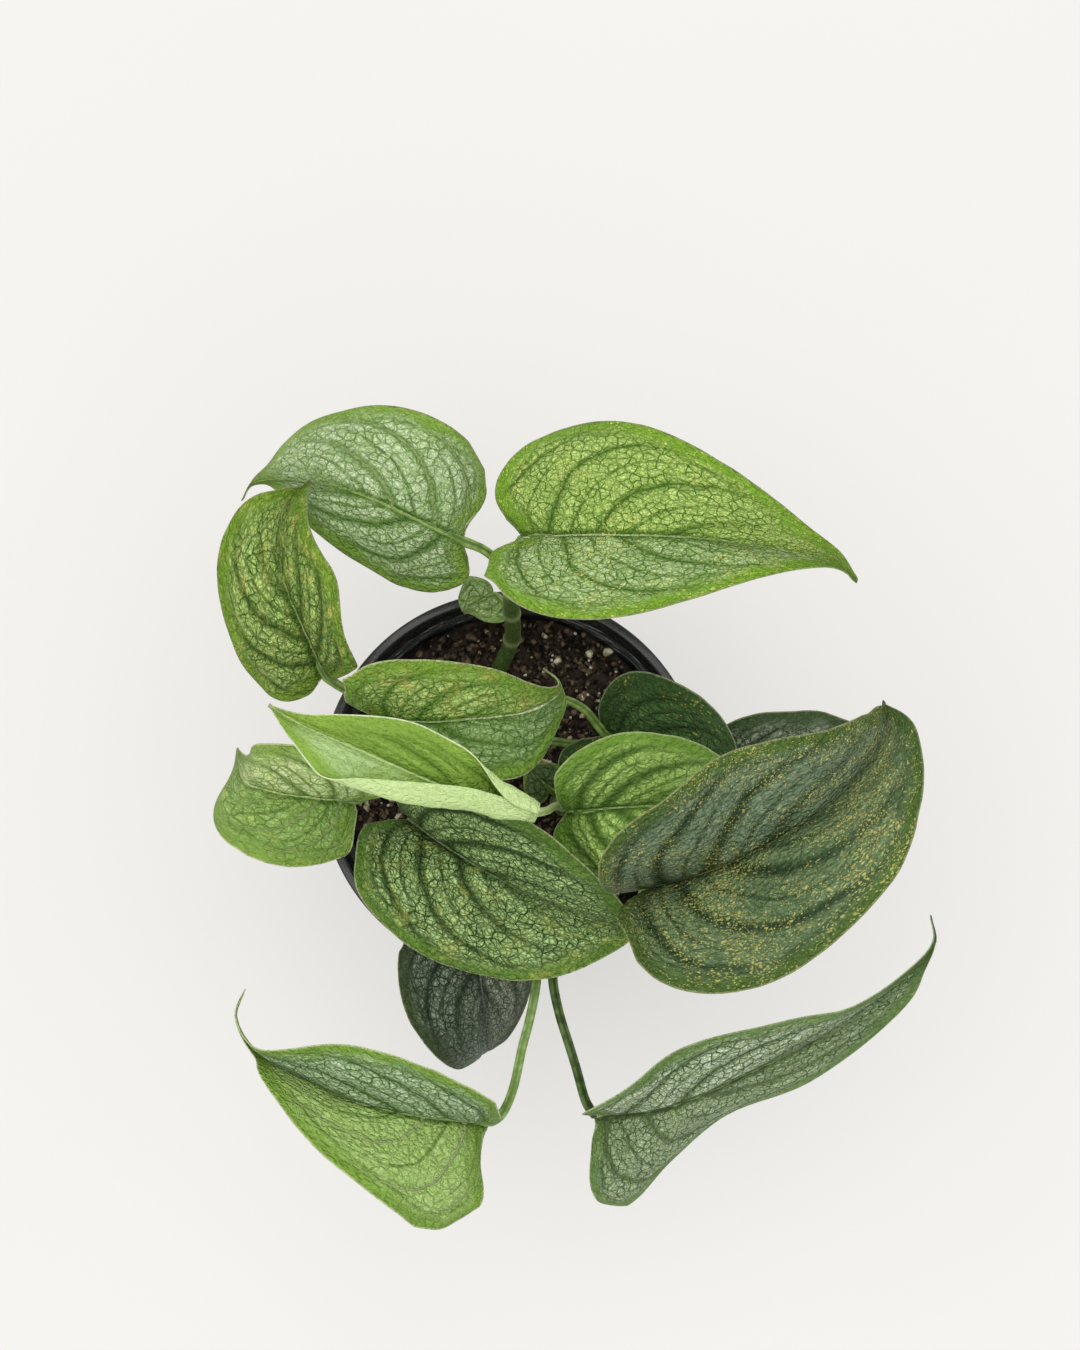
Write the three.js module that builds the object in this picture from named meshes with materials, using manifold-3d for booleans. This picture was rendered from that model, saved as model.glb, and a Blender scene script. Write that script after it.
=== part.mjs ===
// A potted Monstera siltepecana: a black nursery pot, its soil, five vine stems and sixteen leaves.
// Millimetres, +Z up, the origin at the middle of the pot's base.
import * as THREE from "three";
import { mergeVertices } from "three/addons/utils/BufferGeometryUtils.js";
import Module from "manifold-3d";

const wasm = await Module();
wasm.setup();

// The pot: a thin tapered wall that steps out into a rim band
const POT_HEIGHT = 92;
const RIM_RADIUS = 55;
const BASE_RADIUS = 39.5;
const POT_WALL = 1.2;
const POT_FLOOR = 2;
const BAND_HEIGHT = 10;
const BAND_STEP = 5;
const BAND_TAPER = 1.4;
const LIP_WIDTH = 2.8;
const EDGE_ROUND = 0.8;
const POT_SIDES = 48;
const DRAIN_HOLES = 6;
const DRAIN_RADIUS = 4;
const DRAIN_RING_RADIUS = 30;
const DRAIN_SIDES = 12;

// The soil: it fills the pot to below the rim
const SOIL_TOP = 80;
const SOIL_WALL_GAP = 0.5;
const SOIL_RELIEF = 1.3;
const SOIL_SIDES = 32;
const SOIL_RINGS = [7, 14, 21, 28, 35, 42];
const SOIL_MOUNDS = { alongX: 3.2, alongY: 3.7, shift: 0.6, share: 0.7 };
const SOIL_CLODS = { alongX: 1.8, alongY: 2.1, shift: 1.3, share: 0.35 };

// The clearance of a piece that is fitted to its neighbour
const FIT_GAP = 0.3;

// The stems: thickness, swollen rings at the nodes, and how deep they are set
const STEM_SIDES = 8;
const STEM_STEPS = 9;
const STEM_SEARCH_STEP = 0.005;
const STEM_FOOT_Z = 62;
const NODE_RING_HEIGHT = 2.4;
const NODE_RING_SWELL = 0.45;
const NODE_RING_ROWS = 4;

// The leaves: the blade's thickness, its blunt tip, and the petiole's section
const BLADE_THICKNESS = 0.8;
const TIP_HALF_WIDTH = 0.5;
const PETIOLE_SIDES = 7;
const PETIOLE_UNDER = 0.3;
const PETIOLE_RUN = { longest: 5, share: 0.2 };

// The side veins leave the midrib close together near its base, and sweep forward to the margin
const VEIN_CROWDING = 0.75;
const VEIN_POWER = 2.4;
const VEIN_SWEEP = 1.25;

// The midrib's frame is worked out at this many places
const MIDRIB_STATIONS = 120;

// The slimming to a leaf's tip sets in between these shares of the way round its outline
const SLIM_FROM = 0.35;
const SLIM_TO = 0.85;

// A curling half may turn all the way round unless its own limit is given
const FULL_TURN = 360;

// A face is set back at most this much further where the blade is creased
const CREASE_LIMIT = 0.45;

// Half of a flat leaf, as shares of its length and half width, from the sinus round the lobe to the tip
const LEAF_OUTLINE = [
  [-0.055, 0.15],
  [-0.09, 0.34],
  [-0.08, 0.58],
  [-0.02, 0.82],
  [0.09, 0.97],
  [0.23, 1.0],
  [0.4, 0.92],
  [0.57, 0.74],
  [0.72, 0.5],
  [0.84, 0.26],
  [0.93, 0.1],
  [1.0, 0.0],
];

// Each stem's middle line, from the soil up, and the heights of its swollen nodes
const STEMS = {
  stem_rear: {
    radius: 2.3,
    path: [[-6, 29, STEM_FOOT_Z], [-4, 33, 80], [0, 41, 96], [0, 48, 118], [0, 54, 133]],
    nodes: [96, 115, 129],
  },
  stem_left: {
    radius: 2.1,
    path: [[-24, 0, STEM_FOOT_Z], [-25, 2, 80], [-27, 7, 105], [-29, 10, 125]],
    nodes: [94, 110, 120],
  },
  stem_centre: {
    radius: 2.2,
    path: [[12.5, -3, STEM_FOOT_Z], [13, -5, 80], [14, -6.5, 105], [14.5, -7.5, 122]],
    nodes: [87, 103, 117],
  },
  stem_right: {
    radius: 2,
    path: [[4, 4, STEM_FOOT_Z], [5, 7, 80], [6, 11, 95], [7, 14, 107]],
    nodes: [94, 103],
  },
  stem_front: {
    radius: 2.3,
    path: [[9, -15, STEM_FOOT_Z], [9, -19, 80], [10, -34, 95], [10.5, -45, 108]],
    nodes: [86, 93, 99, 104],
  },
};

// Each leaf: the midrib's points from the blade's base to its tip, the half width, and for both
// halves the lift above level in degrees from base to tip, the curl from midrib to margin, and
// where it differs the share of the width, the lobe's share, the sweep, the slimming to the tip, the
// trim of the width and the outline's shift towards the tip, both from base to tip, and for a rolled
// half the flat width before its curl begins and the angle that it turns through.
// The petiole's points run from inside its stem to just before the blade's base.
const LEAVES = {
  leaf_rear_right: {
    stem: "stem_rear",
    petiole: [[0, 53.5, 131], [0, 56, 138], [0.5, 60, 146]],
    petioleRadius: 1.4,
    rib: [[3, 65, 152], [26, 65, 158], [51, 64, 158], [76, 61, 150], [88, 59, 142], [95, 54, 134]],
    width: 33,
    left: {
      lift: [-10, 5, 10, 0, -10],
      curl: 35,
      lobe: 0.65,
      sweep: 0.97,
      slim: 0.25,
      trim: [1.003, 1.036, 1.05, 1.048, 1.043, 1, 0.991, 1.03, 1.095],
      shift: [-0.004, -0.009, -0.011, -0.003, 0.008, -0.005, -0.008, 0.008, 0.027],
    },
    right: {
      lift: [75, 35, 35, 45, 35],
      curl: 25,
      lobe: 0,
      sweep: 0.93,
      slim: 0.45,
      wide: 0.94,
      trim: [0.971, 0.999, 1.027, 1.056, 0.981, 1.018, 1.007, 1.018, 1.033],
      shift: [0, 0.002, 0.009, -0.004, -0.017, -0.005, -0.003, -0.005, -0.007],
    },
    columns: 4,
    color: "#6f9a45",
  },
  leaf_rear_left: {
    stem: "stem_rear",
    petiole: [[0, 52, 128], [-2, 58, 133], [-7, 62.5, 137.5]],
    petioleRadius: 1.3,
    rib: [[-13, 65, 140], [-26, 71, 143], [-44, 79, 140], [-61, 83, 130], [-72, 83, 120], [-76, 79, 112]],
    width: 27,
    left: {
      lift: [-20, -15, 0, -5, -15],
      curl: 45,
      lobe: 0.9,
      sweep: 1.03,
      slim: 0.6,
      wide: 0.95,
      trim: [0.938, 0.954, 0.96, 0.949, 0.891, 0.902, 0.822, 0.785, 0.82],
      shift: [0.014, -0.006, 0.003, -0.001, -0.001, 0.01, -0.037, -0.045, -0.009],
    },
    right: {
      lift: [-15, 10, 10, -5, -35],
      curl: 40,
      lobe: 0.1,
      wide: 1.05,
      trim: [0.964, 1.014, 1.03, 1.004, 1.026, 1.043, 1.055, 1.003, 0.998],
      shift: [0.021, -0.008, -0.006, -0.003, 0.005, 0.009, -0.002, -0.029, -0.01],
    },
    columns: 4,
    color: "#74966b",
  },
  leaf_rear_small: {
    stem: "stem_rear",
    petiole: [[0, 47, 115], [-3, 51, 113.5]],
    petioleRadius: 0.9,
    rib: [[-5, 53, 112], [-8, 51, 113], [-12, 49, 112], [-13.5, 47.5, 110.5]],
    width: 8.5,
    left: {
      lift: [20, 10, 10, 5, 5],
      curl: 20,
      lobe: 1.1,
      sweep: 0.95,
      trim: [1.047, 1.065, 1.063, 1.025, 0.967, 0.897, 0.861, 0.88, 0.942],
      shift: [-0.005, -0.011, -0.011, -0.003, -0.001, -0.004, -0.006, -0.005, 0],
    },
    right: {
      lift: [-10, 0, 10, 15, 20],
      curl: 20,
      sweep: 1.05,
      trim: [0.797, 0.824, 0.839, 0.864, 0.927, 0.973, 0.975, 0.987, 0.999],
      shift: [0.011, 0.007, 0.006, 0.004, 0.002, 0.001, -0.005, -0.003, 0],
    },
    rows: 8,
    columns: 2,
    color: "#7ea06a",
  },
  leaf_left_upper: {
    stem: "stem_left",
    petiole: [[-28, 8.5, 118], [-33, 15, 124], [-41, 22, 133], [-47, 25.5, 137.5]],
    petioleRadius: 1.3,
    rib: [[-51, 28, 138], [-56, 40, 144], [-62, 55, 146], [-63, 68, 144], [-60, 76, 141], [-55, 82, 138]],
    width: 21.5,
    left: {
      lift: [-10, -10, -5, 15, 20],
      curl: 40,
      lobe: 0.5,
      slim: -0.3,
      wide: 1.03,
      trim: [0.792, 0.991, 1.041, 1.048, 0.994, 0.938, 0.921, 0.907, 0.927],
      shift: [0.014, -0.024, -0.019, -0.001, -0.002, 0.001, 0.008, -0.021, -0.025],
    },
    right: {
      lift: [70, 65, 50, 45, 25],
      curl: 20,
      lobe: 0.1,
      sweep: 1.07,
      slim: 0.1,
      wide: 0.87,
      trim: [0.948, 0.997, 1.047, 1.011, 1.095, 1.053, 1.066, 1.045, 1.014],
      shift: [0.001, 0.008, 0.009, 0.01, 0.002, -0.005, 0.01, 0.005, 0],
    },
    color: "#7f9a3c",
  },
  leaf_centre_rear: {
    stem: "stem_left",
    petiole: [[-28.8, 9.6, 123], [-31, 11, 130], [-34, 13.5, 140]],
    petioleRadius: 1.3,
    rib: [
      [-38, 17, 148],
      [-24, 15, 153],
      [-8, 16, 154],
      [5, 18, 149],
      [13, 23, 142],
      [13, 27, 139],
      [9, 30, 141],
    ],
    width: 19,
    left: {
      lift: [80, 40, 25, 10, -5],
      curl: 35,
      lobe: 0,
      sweep: 0.92,
      trim: [0.893, 1.034, 1.092, 1.087, 0.979, 0.96, 0.927, 0.861, 0.824],
      shift: [0.011, -0.03, 0.02, 0.014, -0.001, 0.005, 0.002, -0.031, -0.034],
    },
    right: {
      lift: [30, 30, 30, -10, -30],
      curl: 35,
      slim: -0.3,
      trim: [1.004, 0.997, 0.987, 0.975, 0.969, 1.016, 1.017, 1.01, 1.001],
      shift: [0, 0, 0, 0.001, 0.004, 0.013, -0.005, -0.003, -0.001],
    },
    color: "#7f9b72",
  },
  leaf_newest: {
    stem: "stem_centre",
    petiole: [[14.5, -7.3, 120], [13, -7.2, 128], [11.5, -7.7, 138], [9.9, -8.8, 150]],
    petioleRadius: 1.1,
    rib: [
      [6.5, -9.6, 158.5],
      [-8, -6, 161.5],
      [-24, 0, 166],
      [-42, 8, 168.5],
      [-56, 14, 168],
      [-64, 19, 165],
    ],
    width: 23,
    left: {
      lift: [-5, 0, 5, 10, 0],
      curl: [-600, -600, -600, -500, -60],
      lobe: 0,
      turn: 178,
      flat: [0, 2, 6.5, 9, 12],
      trim: [0.9, 0.8, 0.48, 0.47, 0.61, 0.87, 1, 0.95, 1],
    },
    right: {
      lift: [0, 5, 10, 10, -5],
      curl: [-450, -520, -500, -20, -20],
      lobe: 0,
      slim: 0.25,
      turn: 172,
      flat: [0, 7, 16, 20, 20],
      trim: [1, 0.8, 0.46, 0.56, 0.56, 0.8, 0.82, 0.78, 0.9],
    },
    columns: 6,
    color: "#a3b07a",
  },
  leaf_centre_right: {
    stem: "stem_centre",
    petiole: [[14.4, -7, 116], [17.4, -8.4, 121], [17.2, -9, 128]],
    petioleRadius: 1.3,
    rib: [[15, -9, 134], [27, -8, 138], [41, -7, 137], [55, -5, 131], [66, 0, 124]],
    width: 22,
    left: {
      lift: [75, 40, 35, 35, 25],
      curl: 30,
      lobe: 0.25,
      sweep: 1.08,
      slim: -0.25,
      wide: 0.93,
      trim: [0.824, 0.902, 0.955, 1.026, 1.024, 0.983, 1.026, 1.025, 1.014],
      shift: [0.018, 0.003, -0.004, 0.003, -0.012, 0, 0.014, 0.007, 0],
    },
    right: {
      lift: [-10, 10, 5, -5, -10],
      curl: 30,
      lobe: 0.9,
      trim: [0.583, 0.784, 0.931, 1.013, 1.028, 1.02, 1.009, 1.002, 0.997],
      shift: [0.026, 0, 0.011, 0.003, 0, -0.001, 0, 0, 0],
    },
    color: "#5d9a35",
  },
  leaf_right_dark: {
    stem: "stem_right",
    petiole: [[6.7, 13.2, 104], [9.5, 19.5, 113], [14, 22.5, 119], [20, 20, 120.5], [24, 15.5, 118]],
    petioleRadius: 1.2,
    rib: [[26, 13, 116], [39, 8, 120], [53, 2, 116], [66, -5, 108]],
    width: 22,
    left: { lift: [30, 30, 30, 20, 10], curl: 30, lobe: 0.8, slim: -0.2, wide: 0.94 },
    right: { lift: [10, 5, 5, 0, 0], curl: 20, lobe: 2.2, wide: 1.1 },
    rows: 10,
    color: "#4c6b3c",
  },
  leaf_right_rear: {
    stem: "stem_right",
    petiole: [[6, 11, 94], [14, 11.5, 93.5], [36, 7, 97], [53, 3, 99.5]],
    petioleRadius: 1.1,
    rib: [[58, 2, 100], [70, 7, 105], [84, 12, 104], [97, 17, 98]],
    width: 16,
    left: {
      lift: [10, 15, 15, 15, 15],
      curl: 30,
      sweep: 1.07,
      wide: 0.8,
      trim: [1, 1, 1, 0.95, 0.95, 0.91, 1.07, 1.1, 1.05],
    },
    right: { lift: [10, 10, 10, 10, 10], curl: 30 },
    rows: 9,
    color: "#4a6639",
  },
  leaf_right_big: {
    stem: "stem_front",
    petiole: [[10, -31, 92], [18, -35.5, 102], [28, -37, 112], [35, -35, 126], [36, -32, 140]],
    petioleRadius: 1.5,
    rib: [[36, -30, 148], [56, -24, 158], [77, -13, 164], [92, -1, 160], [101, 12, 152], [101, 21, 146]],
    width: 34,
    left: {
      lift: [80, 60, 40, 40, 10],
      curl: 30,
      lobe: 0.6,
      slim: -0.15,
      wide: 0.89,
      trim: [0.905, 0.95, 0.998, 1.033, 1.015, 1.053, 1.018, 1.071, 1.124],
      shift: [0.012, -0.009, 0.008, 0, 0.01, -0.033, 0.002, 0.03, -0.002],
    },
    right: {
      lift: [85, 40, 50, 50, 35],
      curl: 50,
      lobe: 0.4,
      sweep: 1.05,
      slim: -0.1,
      wide: 1.03,
      trim: [0.93, 1, 0.957, 0.996, 0.983, 1.027, 0.964, 0.992, 0.99],
      shift: [0.03, -0.015, 0.009, -0.011, -0.005, -0.02, 0, 0.003, -0.013],
    },
    columns: 4,
    color: "#4f6b45",
  },
  leaf_front_big: {
    stem: "stem_front",
    petiole: [[9.3, -24, 86], [3, -25, 92], [-12, -20, 105], [-24, -14, 115.5]],
    petioleRadius: 1.4,
    rib: [[-29, -10.5, 120], [-17, -19, 129], [0, -29, 132], [16, -36, 129], [33.5, -41, 120]],
    width: 28.5,
    left: {
      lift: [70, 60, 55, 55, 40],
      curl: 20,
      lobe: 0.5,
      sweep: 1.09,
      slim: -0.15,
      wide: 0.88,
      trim: [1.029, 1.02, 1.011, 1.006, 1, 0.989, 0.963, 0.999, 1.017],
      shift: [0.001, -0.013, -0.006, -0.001, -0.002, -0.003, 0.002, 0.016, 0.006],
    },
    right: {
      lift: [35, 5, -5, 5, 20],
      curl: 35,
      lobe: 1.25,
      sweep: 1.12,
      slim: -0.15,
      wide: 1.03,
      trim: [0.977, 0.959, 1.04, 1.001, 1.031, 0.995, 0.993, 1.029, 1.091],
      shift: [0.016, -0.011, 0.005, -0.002, -0.006, -0.014, -0.011, 0.019, 0.026],
    },
    columns: 4,
    color: "#5f8c46",
  },
  leaf_left_lower: {
    stem: "stem_left",
    petiole: [[-27.4, 7.8, 109], [-31, 3.5, 118], [-36, -2.5, 127]],
    petioleRadius: 1.2,
    rib: [[-43, -6, 130], [-55, -5, 132], [-67, -3, 130], [-74, 0, 124], [-77, 9, 112]],
    width: 21,
    left: {
      lift: [-10, 5, 25, 20, -20],
      curl: 35,
      lobe: 0.3,
      sweep: 1.02,
      slim: -0.35,
      wide: 0.92,
      trim: [0.894, 0.956, 0.996, 0.986, 0.994, 0.983, 0.953, 0.921, 0.936],
      shift: [-0.002, 0.003, -0.016, -0.007, 0.002, 0.003, 0.005, -0.001, -0.002],
    },
    right: {
      lift: [80, 60, 40, 15, -5],
      curl: 25,
      lobe: 0.9,
      sweep: 0.9,
      slim: -0.1,
      wide: 0.95,
      trim: [1.047, 1.034, 1.019, 1.009, 0.997, 0.967, 0.947, 0.942, 0.921],
      shift: [0.011, -0.026, -0.013, -0.003, 0, -0.004, -0.004, -0.001, 0],
    },
    color: "#6d9440",
  },
  leaf_front_under: {
    stem: "stem_front",
    petiole: [[10, -36.5, 98], [4, -39, 105.5], [-3, -38, 110], [-9, -36, 113]],
    petioleRadius: 1.2,
    rib: [[-13, -35, 114], [-10, -47, 112], [-8, -62, 102], [-7, -74, 86], [-8, -78, 72]],
    width: 23,
    left: {
      lift: [-5, -5, -5, -5, 0],
      curl: 50,
      slim: 0.15,
      trim: [1.003, 1.002, 1, 0.992, 0.975, 0.948, 0.958, 0.99, 1.005],
      shift: [0, 0, 0, 0, -0.003, -0.009, -0.003, -0.001, -0.011],
    },
    right: {
      lift: [-5, 10, 30, 45, 40],
      curl: 50,
      sweep: 1.08,
      slim: -0.1,
      trim: [1.002, 1.02, 1.036, 1.026, 1.033, 0.989, 1.016, 1.015, 1.008],
      shift: [0, -0.002, -0.005, -0.005, 0.001, -0.004, 0.012, 0.006, 0],
    },
    rows: 10,
    color: "#5e7358",
  },
  leaf_front_left: {
    stem: "stem_front",
    petiole: [
      [10.2, -40.5, 103],
      [6.8, -47.5, 109.5],
      [7, -56, 111.8],
      [5.2, -66, 113],
      [3, -74.5, 113],
      [0.6, -85.5, 111.5],
      [-2.5, -92.8, 108.7],
    ],
    petioleRadius: 1.3,
    rib: [
      [-6, -96, 106],
      [-23, -94, 110],
      [-42, -90, 112],
      [-59, -83, 108],
      [-72, -76, 102],
      [-78, -67, 98],
      [-76, -59, 94],
    ],
    width: 30,
    left: {
      lift: [-10, 30, 50, 60, 60],
      curl: 25,
      lobe: -0.2,
      sweep: 0.96,
      slim: 0.6,
      wide: 1.03,
      trim: [0.822, 0.909, 0.975, 1.01, 1.048, 0.958, 0.983, 0.919, 0.924],
      shift: [0.007, 0.009, -0.002, 0.015, -0.014, 0.004, -0.013, -0.075, -0.026],
    },
    right: {
      lift: [80, 65, 60, 80, 60],
      curl: 25,
      lobe: 0.2,
      sweep: 1.03,
      slim: 0.2,
      wide: 0.83,
      trim: [1, 0.967, 0.933, 0.944, 1.025, 1.054, 0.949, 0.933, 0.952],
      shift: [-0.005, -0.008, 0.008, 0.015, 0.023, -0.003, -0.041, -0.017, 0.002],
    },
    columns: 4,
    color: "#7a9d52",
  },
  leaf_front_right: {
    stem: "stem_front",
    petiole: [
      [10.6, -43.5, 106.5],
      [12, -49.5, 110.2],
      [11.6, -56, 111.6],
      [13.4, -65, 113],
      [15.9, -73, 113.4],
      [18.2, -80.5, 112.8],
      [20.6, -89, 110.2],
    ],
    petioleRadius: 1.3,
    rib: [
      [23, -94, 106],
      [44, -91, 112],
      [69, -80, 116],
      [91, -68, 116],
      [110, -55, 110],
      [119, -46, 103],
      [119, -38, 98],
    ],
    width: 27,
    left: {
      lift: [85, 55, 65, 75, 40],
      curl: 15,
      lobe: 0.1,
      slim: 0.15,
      wide: 0.84,
      trim: [0.971, 0.893, 0.835, 0.858, 0.998, 0.966, 0.88, 0.906, 0.933],
      shift: [0.01, 0.006, 0.01, 0.016, -0.001, -0.023, -0.044, -0.002, 0.016],
    },
    right: {
      lift: [0, -45, -40, -25, 0],
      curl: 50,
      lobe: 0.1,
      sweep: 0.92,
      slim: 0.4,
      wide: 1.15,
      trim: [1.084, 1.074, 1.072, 1.056, 0.807, 0.951, 0.974, 0.957, 0.92],
      shift: [0.006, 0.005, 0.021, 0.004, -0.061, -0.007, 0.042, -0.016, -0.042],
    },
    columns: 4,
    color: "#66904f",
  },
  leaf_centre_small: {
    stem: "stem_centre",
    petiole: [[13.4, -5.4, 86], [12.2, -3.2, 90]],
    petioleRadius: 0.8,
    rib: [[11, -2, 92], [8.5, 0.5, 94], [6, 3, 94.5], [4.5, 5, 93]],
    width: 7,
    left: { lift: [10, 10, 10, 10, 10], curl: 10 },
    right: { lift: [10, 10, 10, 10, 10], curl: 10 },
    rows: 7,
    columns: 2,
    color: "#4d6644",
  },
};

const STEM_COLOR = "#5d7a42";
const SOIL_COLOR = "#2b211b";
const POT_COLOR = "#1c1d20";
const STEM_ROUGHNESS = 0.5;
const LEAF_ROUGHNESS = 0.45;
const SOIL_ROUGHNESS = 0.95;
const POT_ROUGHNESS = 0.4;

function vector([x, y, z]) {
  return new THREE.Vector3(x, y, z);
}

function smoothCurve(points) {
  return new THREE.CatmullRomCurve3(points.map(vector), false, "catmullrom", 0.5);
}

// A value that runs smoothly through a list spread evenly over 0 to 1
function along(values, t) {
  const list = Array.isArray(values) ? values : [values, values];
  return smoothCurve(list.map((v) => [v, 0, 0])).getPoint(THREE.MathUtils.clamp(t, 0, 1)).x;
}

// A closed geometry as a solid, and a solid as a geometry
function solidOf(geometry) {
  const plain = geometry.clone();
  plain.deleteAttribute("normal");
  plain.deleteAttribute("uv");
  const merged = mergeVertices(plain, 1e-4);
  return new wasm.Manifold(
    new wasm.Mesh({
      numProp: 3,
      vertProperties: merged.attributes.position.array,
      triVerts: new Uint32Array(merged.index.array),
    }),
  );
}

function geometryOf(solid) {
  const mesh = solid.getMesh();
  const geometry = new THREE.BufferGeometry();
  geometry.setAttribute("position", new THREE.Float32BufferAttribute(mesh.vertProperties, 3));
  geometry.setIndex(Array.from(mesh.triVerts));
  const faceted = geometry.toNonIndexed();
  faceted.computeVertexNormals();
  return faceted;
}

// A round rod along a smooth line
function rod(points, radius, sides, steps) {
  const section = new THREE.Shape();
  for (let i = 0; i < sides; i++) {
    const angle = (2 * Math.PI * i) / sides;
    const x = radius * Math.cos(angle);
    const y = radius * Math.sin(angle);
    if (i === 0) section.moveTo(x, y);
    else section.lineTo(x, y);
  }
  section.closePath();
  return new THREE.ExtrudeGeometry(section, { steps, extrudePath: smoothCurve(points) });
}

// A stem with its swollen nodes, thickened by a clearance where a neighbour is cut to it
function stemSolid(stem, clearance) {
  const radius = stem.radius + clearance;
  const curve = smoothCurve(stem.path);
  const foot = curve.getPoint(0).addScaledVector(curve.getTangent(0), -clearance).toArray();
  const head = curve.getPoint(1).addScaledVector(curve.getTangent(1), clearance).toArray();
  const path = [foot, ...stem.path.slice(1, -1), head];
  let solid = solidOf(rod(path, radius, STEM_SIDES, STEM_STEPS));
  for (const height of stem.nodes) {
    let t = 0;
    while (t < 1 && curve.getPoint(t).z < height) t += STEM_SEARCH_STEP;
    const ring = new THREE.SphereGeometry(1, STEM_SIDES, NODE_RING_ROWS);
    const swollen = radius + NODE_RING_SWELL;
    ring.scale(swollen, swollen, NODE_RING_HEIGHT + clearance);
    const turn = new THREE.Quaternion();
    turn.setFromUnitVectors(new THREE.Vector3(0, 0, 1), curve.getTangent(Math.min(t, 1)));
    ring.applyQuaternion(turn);
    const middle = curve.getPoint(Math.min(t, 1));
    ring.translate(middle.x, middle.y, middle.z);
    solid = solid.add(solidOf(ring));
  }
  return solid;
}

// The midrib's place and its three directions at a distance from the blade's base
function midrib(points) {
  const curve = smoothCurve(points);
  const length = curve.getLength();
  const count = MIDRIB_STATIONS;
  const stations = [];
  const side = new THREE.Vector3();
  for (let i = 0; i <= count; i++) {
    const point = curve.getPointAt(i / count);
    const forward = curve.getTangentAt(i / count);
    if (i === 0) side.set(0, 0, 1).cross(forward).normalize();
    side.addScaledVector(forward, -side.dot(forward)).normalize();
    const up = forward.clone().cross(side);
    stations.push({ point, forward, side: side.clone(), up });
  }
  function at(distance) {
    const t = THREE.MathUtils.clamp(distance / length, 0, 1) * count;
    const i = Math.min(Math.floor(t), count - 1);
    const a = stations[i];
    const b = stations[i + 1];
    const frame = {};
    for (const key of ["point", "forward", "side", "up"]) {
      frame[key] = a[key].clone().lerp(b[key], t - i);
    }
    frame.point.addScaledVector(frame.forward, Math.min(distance, 0));
    return frame;
  }
  return { length, at };
}

// The blade's middle sheet: rows follow the side veins from the midrib out to the margin, and
// columns run from the left margin over the midrib to the right margin
function bladeSheet(leaf, rows, columns) {
  const rib = midrib(leaf.rib);
  const outline = smoothCurve(LEAF_OUTLINE.map(([x, y]) => [x, y, 0]));
  const sheet = [];
  for (let i = 0; i <= rows; i++) {
    const e = i / rows;
    const mark = outline.getPoint(e);
    const start = rib.length * ((1 - VEIN_CROWDING) * e + VEIN_CROWDING * Math.pow(e, VEIN_POWER));
    const row = [];
    for (let j = -columns; j <= columns; j++) {
      const left = j < 0;
      const half = left ? leaf.left : leaf.right;
      const width = leaf.width * (half.wide ?? 1);
      const slimming = THREE.MathUtils.smoothstep(e, SLIM_FROM, SLIM_TO) * (half.slim ?? 0);
      const trim = along(half.trim ?? 1, e);
      const reach = Math.max(mark.y * width * trim * (1 - slimming), TIP_HALF_WIDTH);
      let ahead = mark.x < 0 ? mark.x * (half.lobe ?? 1) : mark.x;
      ahead += ((half.sweep ?? 1) - 1) * Math.sin(Math.PI * e) + along(half.shift ?? 0, e);
      const s = Math.abs(j) / columns;
      const distance = start + (ahead * rib.length - start) * Math.pow(s, VEIN_SWEEP);
      const out = reach * s;
      const share = distance / rib.length;
      const lift = THREE.MathUtils.degToRad(along(half.lift, share));
      const curl = THREE.MathUtils.degToRad(along(half.curl, share));
      const bend = width / (Math.abs(curl) < 0.001 ? 0.001 : curl);
      const flat = Math.min(out, along(half.flat ?? 0, share));
      const turn = THREE.MathUtils.degToRad(half.turn ?? FULL_TURN);
      const arc = Math.min(out - flat, Math.abs(bend) * turn);
      const loose = out - flat - arc;
      const end = lift - arc / bend;
      const across =
        flat * Math.cos(lift) + bend * (Math.sin(lift) - Math.sin(end)) + loose * Math.cos(end);
      const rise =
        flat * Math.sin(lift) + bend * (Math.cos(end) - Math.cos(lift)) + loose * Math.sin(end);
      const frame = rib.at(distance);
      const place = frame.point.addScaledVector(frame.side, left ? across : -across);
      row.push(place.addScaledVector(frame.up, rise));
    }
    sheet.push(row);
  }
  return sheet;
}

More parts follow.
